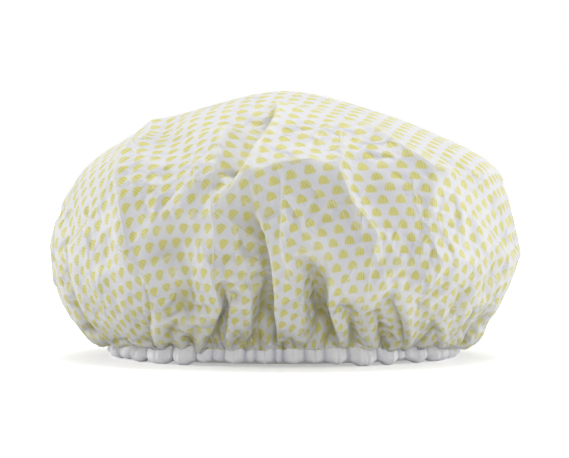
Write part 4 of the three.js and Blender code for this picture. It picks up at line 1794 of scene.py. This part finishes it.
@dataclass
class ElasticBand:
    """The flat elastic in the strip's tunnel, as a closed ring whose edges are rounded by a bead."""

    shape: CapShape
    width: float = 6.0
    thick: float = 0.8
    bead: float = 0.15
    low: float = 1.6
    stations: int = 360

    def build(self) -> Piece:
        """Makes the elastic and dresses it."""
        half = self.thick / 2
        flat, top = half - self.bead, self.width - self.bead
        section = np.array([
            (half, self.bead), (half, top), (flat, self.width), (-flat, self.width),
            (-half, top), (-half, self.bead), (-flat, 0.0), (flat, 0.0),
        ])
        angle = np.linspace(0.0, FULL_TURN, self.stations, endpoint=False)[:, None]
        points = self.shape.on_ring(angle, section[:, 0], self.low + section[:, 1])
        piece = MeshMaker.ring("elastic", points)
        MeshMaker.dress(piece, "elastic_band", Slot.ELASTIC, KnittedElastic().material())
        return piece


def tube(middle: np.ndarray, radius: float, sides: int) -> np.ndarray:
    """A closed tube round a closed line.

    Args:
        middle: the line's points.
        radius: the tube's radius.
        sides: points round the tube.

    Returns:
        Points, the stations along the line first, then round the tube.
    """
    ahead = np.roll(middle, -1, axis=0) - np.roll(middle, 1, axis=0)
    ahead /= np.maximum(np.linalg.norm(ahead, axis=1, keepdims=True), TINY)
    aside = np.cross(ahead, np.array([0.0, 0.0, 1.0]))
    aside /= np.maximum(np.linalg.norm(aside, axis=1, keepdims=True), TINY)
    above = np.cross(aside, ahead)
    turn = np.linspace(0.0, FULL_TURN, sides, endpoint=False)
    ring = aside[:, None] * np.cos(turn)[None, :, None] + above[:, None] * np.sin(turn)[None, :, None]
    return middle[:, None] + radius * ring


@dataclass
class Thread:
    """A thin thread that ends where it starts.

    Attributes:
        name: the piece's name.
        node: the frame's solid that it replaces.
        radius: its radius.
        sides: points round it.
    """

    name: str
    node: str
    radius: float = field(default=0.2, kw_only=True)
    sides: int = field(default=6, kw_only=True)

    def path(self) -> np.ndarray:
        """The thread's middle line."""
        raise NotImplementedError

    def build(self, material: Material) -> Piece:
        """Makes the thread and dresses it."""
        piece = MeshMaker.ring(self.name, tube(self.path(), self.radius, self.sides))
        MeshMaker.dress(piece, self.node, Slot.THREAD, material)
        return piece


@dataclass
class HemStitches(Thread):
    """One thread of the row of stitches that holds the strip, on one face of it.

    Attributes:
        height: height of the row.
        stitches: how many stitches go round the hem.
        wave: how far the thread's line moves in and out.
        sunk: share of that below the cloth.
        square: how a stitch runs, round at 1 and square at 0.
        steps: points along a stitch.
    """

    binding: HemBinding
    side: StripSide
    height: float = 10.2
    stitches: int = 330
    wave: float = 0.5
    sunk: float = 0.55
    square: float = 0.5
    steps: int = 7

    def path(self) -> np.ndarray:
        """The thread's middle line: over the strip in each stitch, and into it at each hole."""
        angle = np.linspace(0.0, FULL_TURN, self.stitches * self.steps, endpoint=False)
        stitch = np.abs(np.sin(angle * self.stitches / 2)) ** self.square
        proud = (stitch - self.sunk) * self.wave
        outward = 1.0 if self.side is StripSide.OUTSIDE else -1.0
        line = self.binding.face(angle, self.height, self.side)
        oval = np.array(self.binding.gather.shape.elastic_half)
        facing = line[:, :2] / oval**2
        facing /= np.linalg.norm(facing, axis=1, keepdims=True)
        line[:, :2] += outward * proud[:, None] * facing
        return line


@dataclass
class JoinStitches(Thread):
    """A thread that goes to and fro over a join at the nape, out and back as one closed line.

    Attributes:
        low: height of the lowest stitches.
        high: height of the highest.
        length: length of the join.
        binding: the strip, for a join on the strip.
        out: how far out of the elastic's oval the thread lies on the elastic.
        under: how far the way back sinks in, in radii of the thread.
        turns: how often the thread goes up and down.
        steps: points in each turn.
    """

    low: float
    high: float
    length: float
    shape: CapShape
    binding: HemBinding | None = None
    out: float = 0.9
    under: float = 2.5
    turns: int = 7
    steps: int = 24

    def _lay(self, line: np.ndarray, sunk: float) -> np.ndarray:
        """A flat line laid on the strip where there is one, or on the elastic.

        Args:
            line: how far along the hem and how high, in millimetres.
            sunk: how far the thread sinks in.

        Returns:
            Places in the cap.
        """
        angle = math.pi / 2 - line[:, 0] / self.shape.elastic_half[0]
        if self.binding is None:
            return self.shape.on_ring(angle, self.out - sunk, line[:, 1])
        laid = self.binding.face(angle, line[:, 1], StripSide.OUTSIDE)
        laid[:, 1] += self.radius - sunk
        return laid

    def path(self) -> np.ndarray:
        """The thread's middle line: up and down along the join, and back under itself."""
        share = np.linspace(0.0, 1.0, self.steps * self.turns)
        zigzag = np.abs((share * self.turns * 2) % 2 - 1)
        height = self.low + (self.high - self.low) * zigzag
        there = np.stack([share * self.length - self.length / 2, height], 1)
        back = self._lay(there[::-1], self.under * self.radius)
        return np.concatenate([self._lay(there, 0.0), back])


@dataclass(frozen=True)
class Lamp:
    """A square soft lamp, with its place and side in metres and its power in watts."""

    name: str
    place: tuple[float, float, float]
    size: float
    power: float

    def build(self, aim: Vector) -> None:
        """Adds the lamp, turned to an aim."""
        bpy.ops.object.light_add(type="AREA", location=self.place)
        lamp = bpy.context.object
        lamp.name = self.name
        lamp.data.size = self.size
        lamp.data.energy = self.power
        lamp.rotation_euler = (aim - Vector(self.place)).to_track_quat("-Z", "Y").to_euler()


@dataclass(frozen=True)
class Studio:
    """A pale floor that runs into a white surround, with soft lamps. Lengths are in metres.

    Attributes:
        mottle: how fine the floor's change of tone is.
        floor_lift: how much the floor is whitened for the camera beside the cap.
        floor_white: distance from the cap where more white starts, and where it is full.
        surround: light from all round.
        aim: where the lamps point.
    """

    floor_size: float = 6.0
    floor_tones: tuple[Colour, Colour] = ((0.90, 0.90, 0.90, 1.0), (0.92, 0.92, 0.92, 1.0))
    mottle: float = 3.0
    rough: float = 0.9
    gloss: float = 0.1
    floor_lift: float = 0.38
    floor_white: Span = (0.15, 0.6)
    surround: Colour = (0.35, 0.35, 0.36, 1.0)
    aim: tuple[float, float, float] = (0.0, 0.0, 0.07)
    lamps: tuple[Lamp, ...] = (
        Lamp("overhead_softbox", (0.05, 0.14, 1.2), 0.9, 10.4),
        Lamp("left_panel", (-1.1, 0.1, 0.32), 0.6, 5.4),
        Lamp("right_panel", (1.1, 0.08, 0.32), 0.6, 5.4),
        Lamp("front_fill", (0.3, -1.6, 0.2), 0.4, 3.4),
    )

    def floor(self) -> None:
        """Lays the floor."""
        MeshMaker.clear_selection()
        bpy.ops.mesh.primitive_plane_add(size=self.floor_size)
        plane = bpy.context.object
        plane.name = "studio_floor"
        material, sheet, shader = Finish().start("studio_floor")
        place = sheet.add("ShaderNodeTexCoord").outputs["Object"]
        tone = sheet.noise(place, self.mottle)
        sheet.link(sheet.blend(tone, *self.floor_tones), shader.inputs["Base Color"])
        shader.inputs["Roughness"].default_value = self.rough
        shader.inputs["Specular IOR Level"].default_value = self.gloss
        shader.inputs["Emission Color"].default_value = WHITE
        path = sheet.add("ShaderNodeLightPath")
        away = sheet.add("ShaderNodeVectorMath", operation="LENGTH")
        sheet.link(place, away.inputs[0])
        white = sheet.ramp(away.outputs["Value"], *self.floor_white, label="white away from the cap")
        lift = sheet.math("ADD", self.floor_lift, white)
        lift = sheet.math("MULTIPLY", path.outputs["Is Camera Ray"], lift)
        sheet.link(lift, shader.inputs["Emission Strength"])
        plane.data.materials.append(material)
        plane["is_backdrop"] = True

    def world(self) -> None:
        """Sets the surround: white to the camera, pale grey as light."""
        world = bpy.data.worlds.new("studio_surround")
        bpy.context.scene.world = world
        world.use_nodes = True
        sheet = NodeSheet(world.node_tree)
        light = world.node_tree.nodes["Background"]
        light.inputs["Color"].default_value = self.surround
        white = sheet.add("ShaderNodeBackground")
        white.inputs["Color"].default_value = WHITE
        path = sheet.add("ShaderNodeLightPath")
        seen = sheet.math("MAXIMUM", path.outputs["Is Camera Ray"], path.outputs["Is Glossy Ray"])
        mixed = sheet.add("ShaderNodeMixShader")
        sheet.link(seen, mixed.inputs["Fac"])
        sheet.link(light.outputs[0], mixed.inputs[1])
        sheet.link(white.outputs[0], mixed.inputs[2])
        sheet.link(mixed.outputs[0], world.node_tree.nodes["World Output"].inputs["Surface"])

    def build(self) -> None:
        """Sets up the floor, the surround and the lamps."""
        self.floor()
        self.world()
        for lamp in self.lamps:
            lamp.build(Vector(self.aim))
        bpy.context.scene.view_settings.view_transform = "Standard"


class ShowerCap:
    """The whole cap, piece by piece."""

    def __init__(self) -> None:
        """Takes the sizes that the pieces share."""
        self.view = BrowView()
        self.shape = CapShape()
        self.gather = HemGather(self.shape)

    def build(self) -> None:
        drape = FilmDrape(self.shape, self.gather, self.view)
        level, points = drape.run()
        strip = HemBinding(self.gather)
        points = strip.keep_off(level, points)
        film = OuterFilm(level, points, drape.highlight_lines()).build()
        lining = Lining(level, points).build()
        binding = strip.build()
        elastic = ElasticBand(self.shape).build()
        thread = SpunThread().material()
        needle_row = HemStitches("needle_thread", "hem_needle_thread", strip, StripSide.OUTSIDE)
        needle = needle_row.build(thread)
        bobbin_row = HemStitches("bobbin_thread", "hem_bobbin_thread", strip, StripSide.INSIDE)
        bobbin = bobbin_row.build(thread)
        elastic_join = JoinStitches(
            "elastic_lap_thread", "elastic_join_thread", low=2.0, high=7.2, length=16.0, shape=self.shape
        )
        lap = elastic_join.build(thread)
        strip_join = JoinStitches(
            "binding_seam_thread", "binding_join_thread", low=1.5, high=11.0, length=6.0, shape=self.shape,
            binding=strip,
        )
        seam = strip_join.build(thread)
        self.view.place_camera()


def write_sizes(frame_box: tuple[Vector, Vector]) -> None:
    """Writes the frame's box and the dressed cap's box.

    Args:
        frame_box: the lowest and highest corner of the frame.
    """
    boxes = {"cad": [list(corner) for corner in frame_box], "visual": [list(corner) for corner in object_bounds()]}
    for name, (low, high) in boxes.items():
        LOG.info("%s box %s", name, [round((b - a) / MM, 1) for a, b in zip(low, high)])


def main() -> None:
    """Loads the frame, dresses it and sets up the studio."""
    logging.basicConfig(level=logging.INFO, format="%(message)s")
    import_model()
    frame_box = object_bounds()
    ShowerCap().build()
    Studio().build()
    write_sizes(frame_box)


if __name__ == "__main__":
    main()
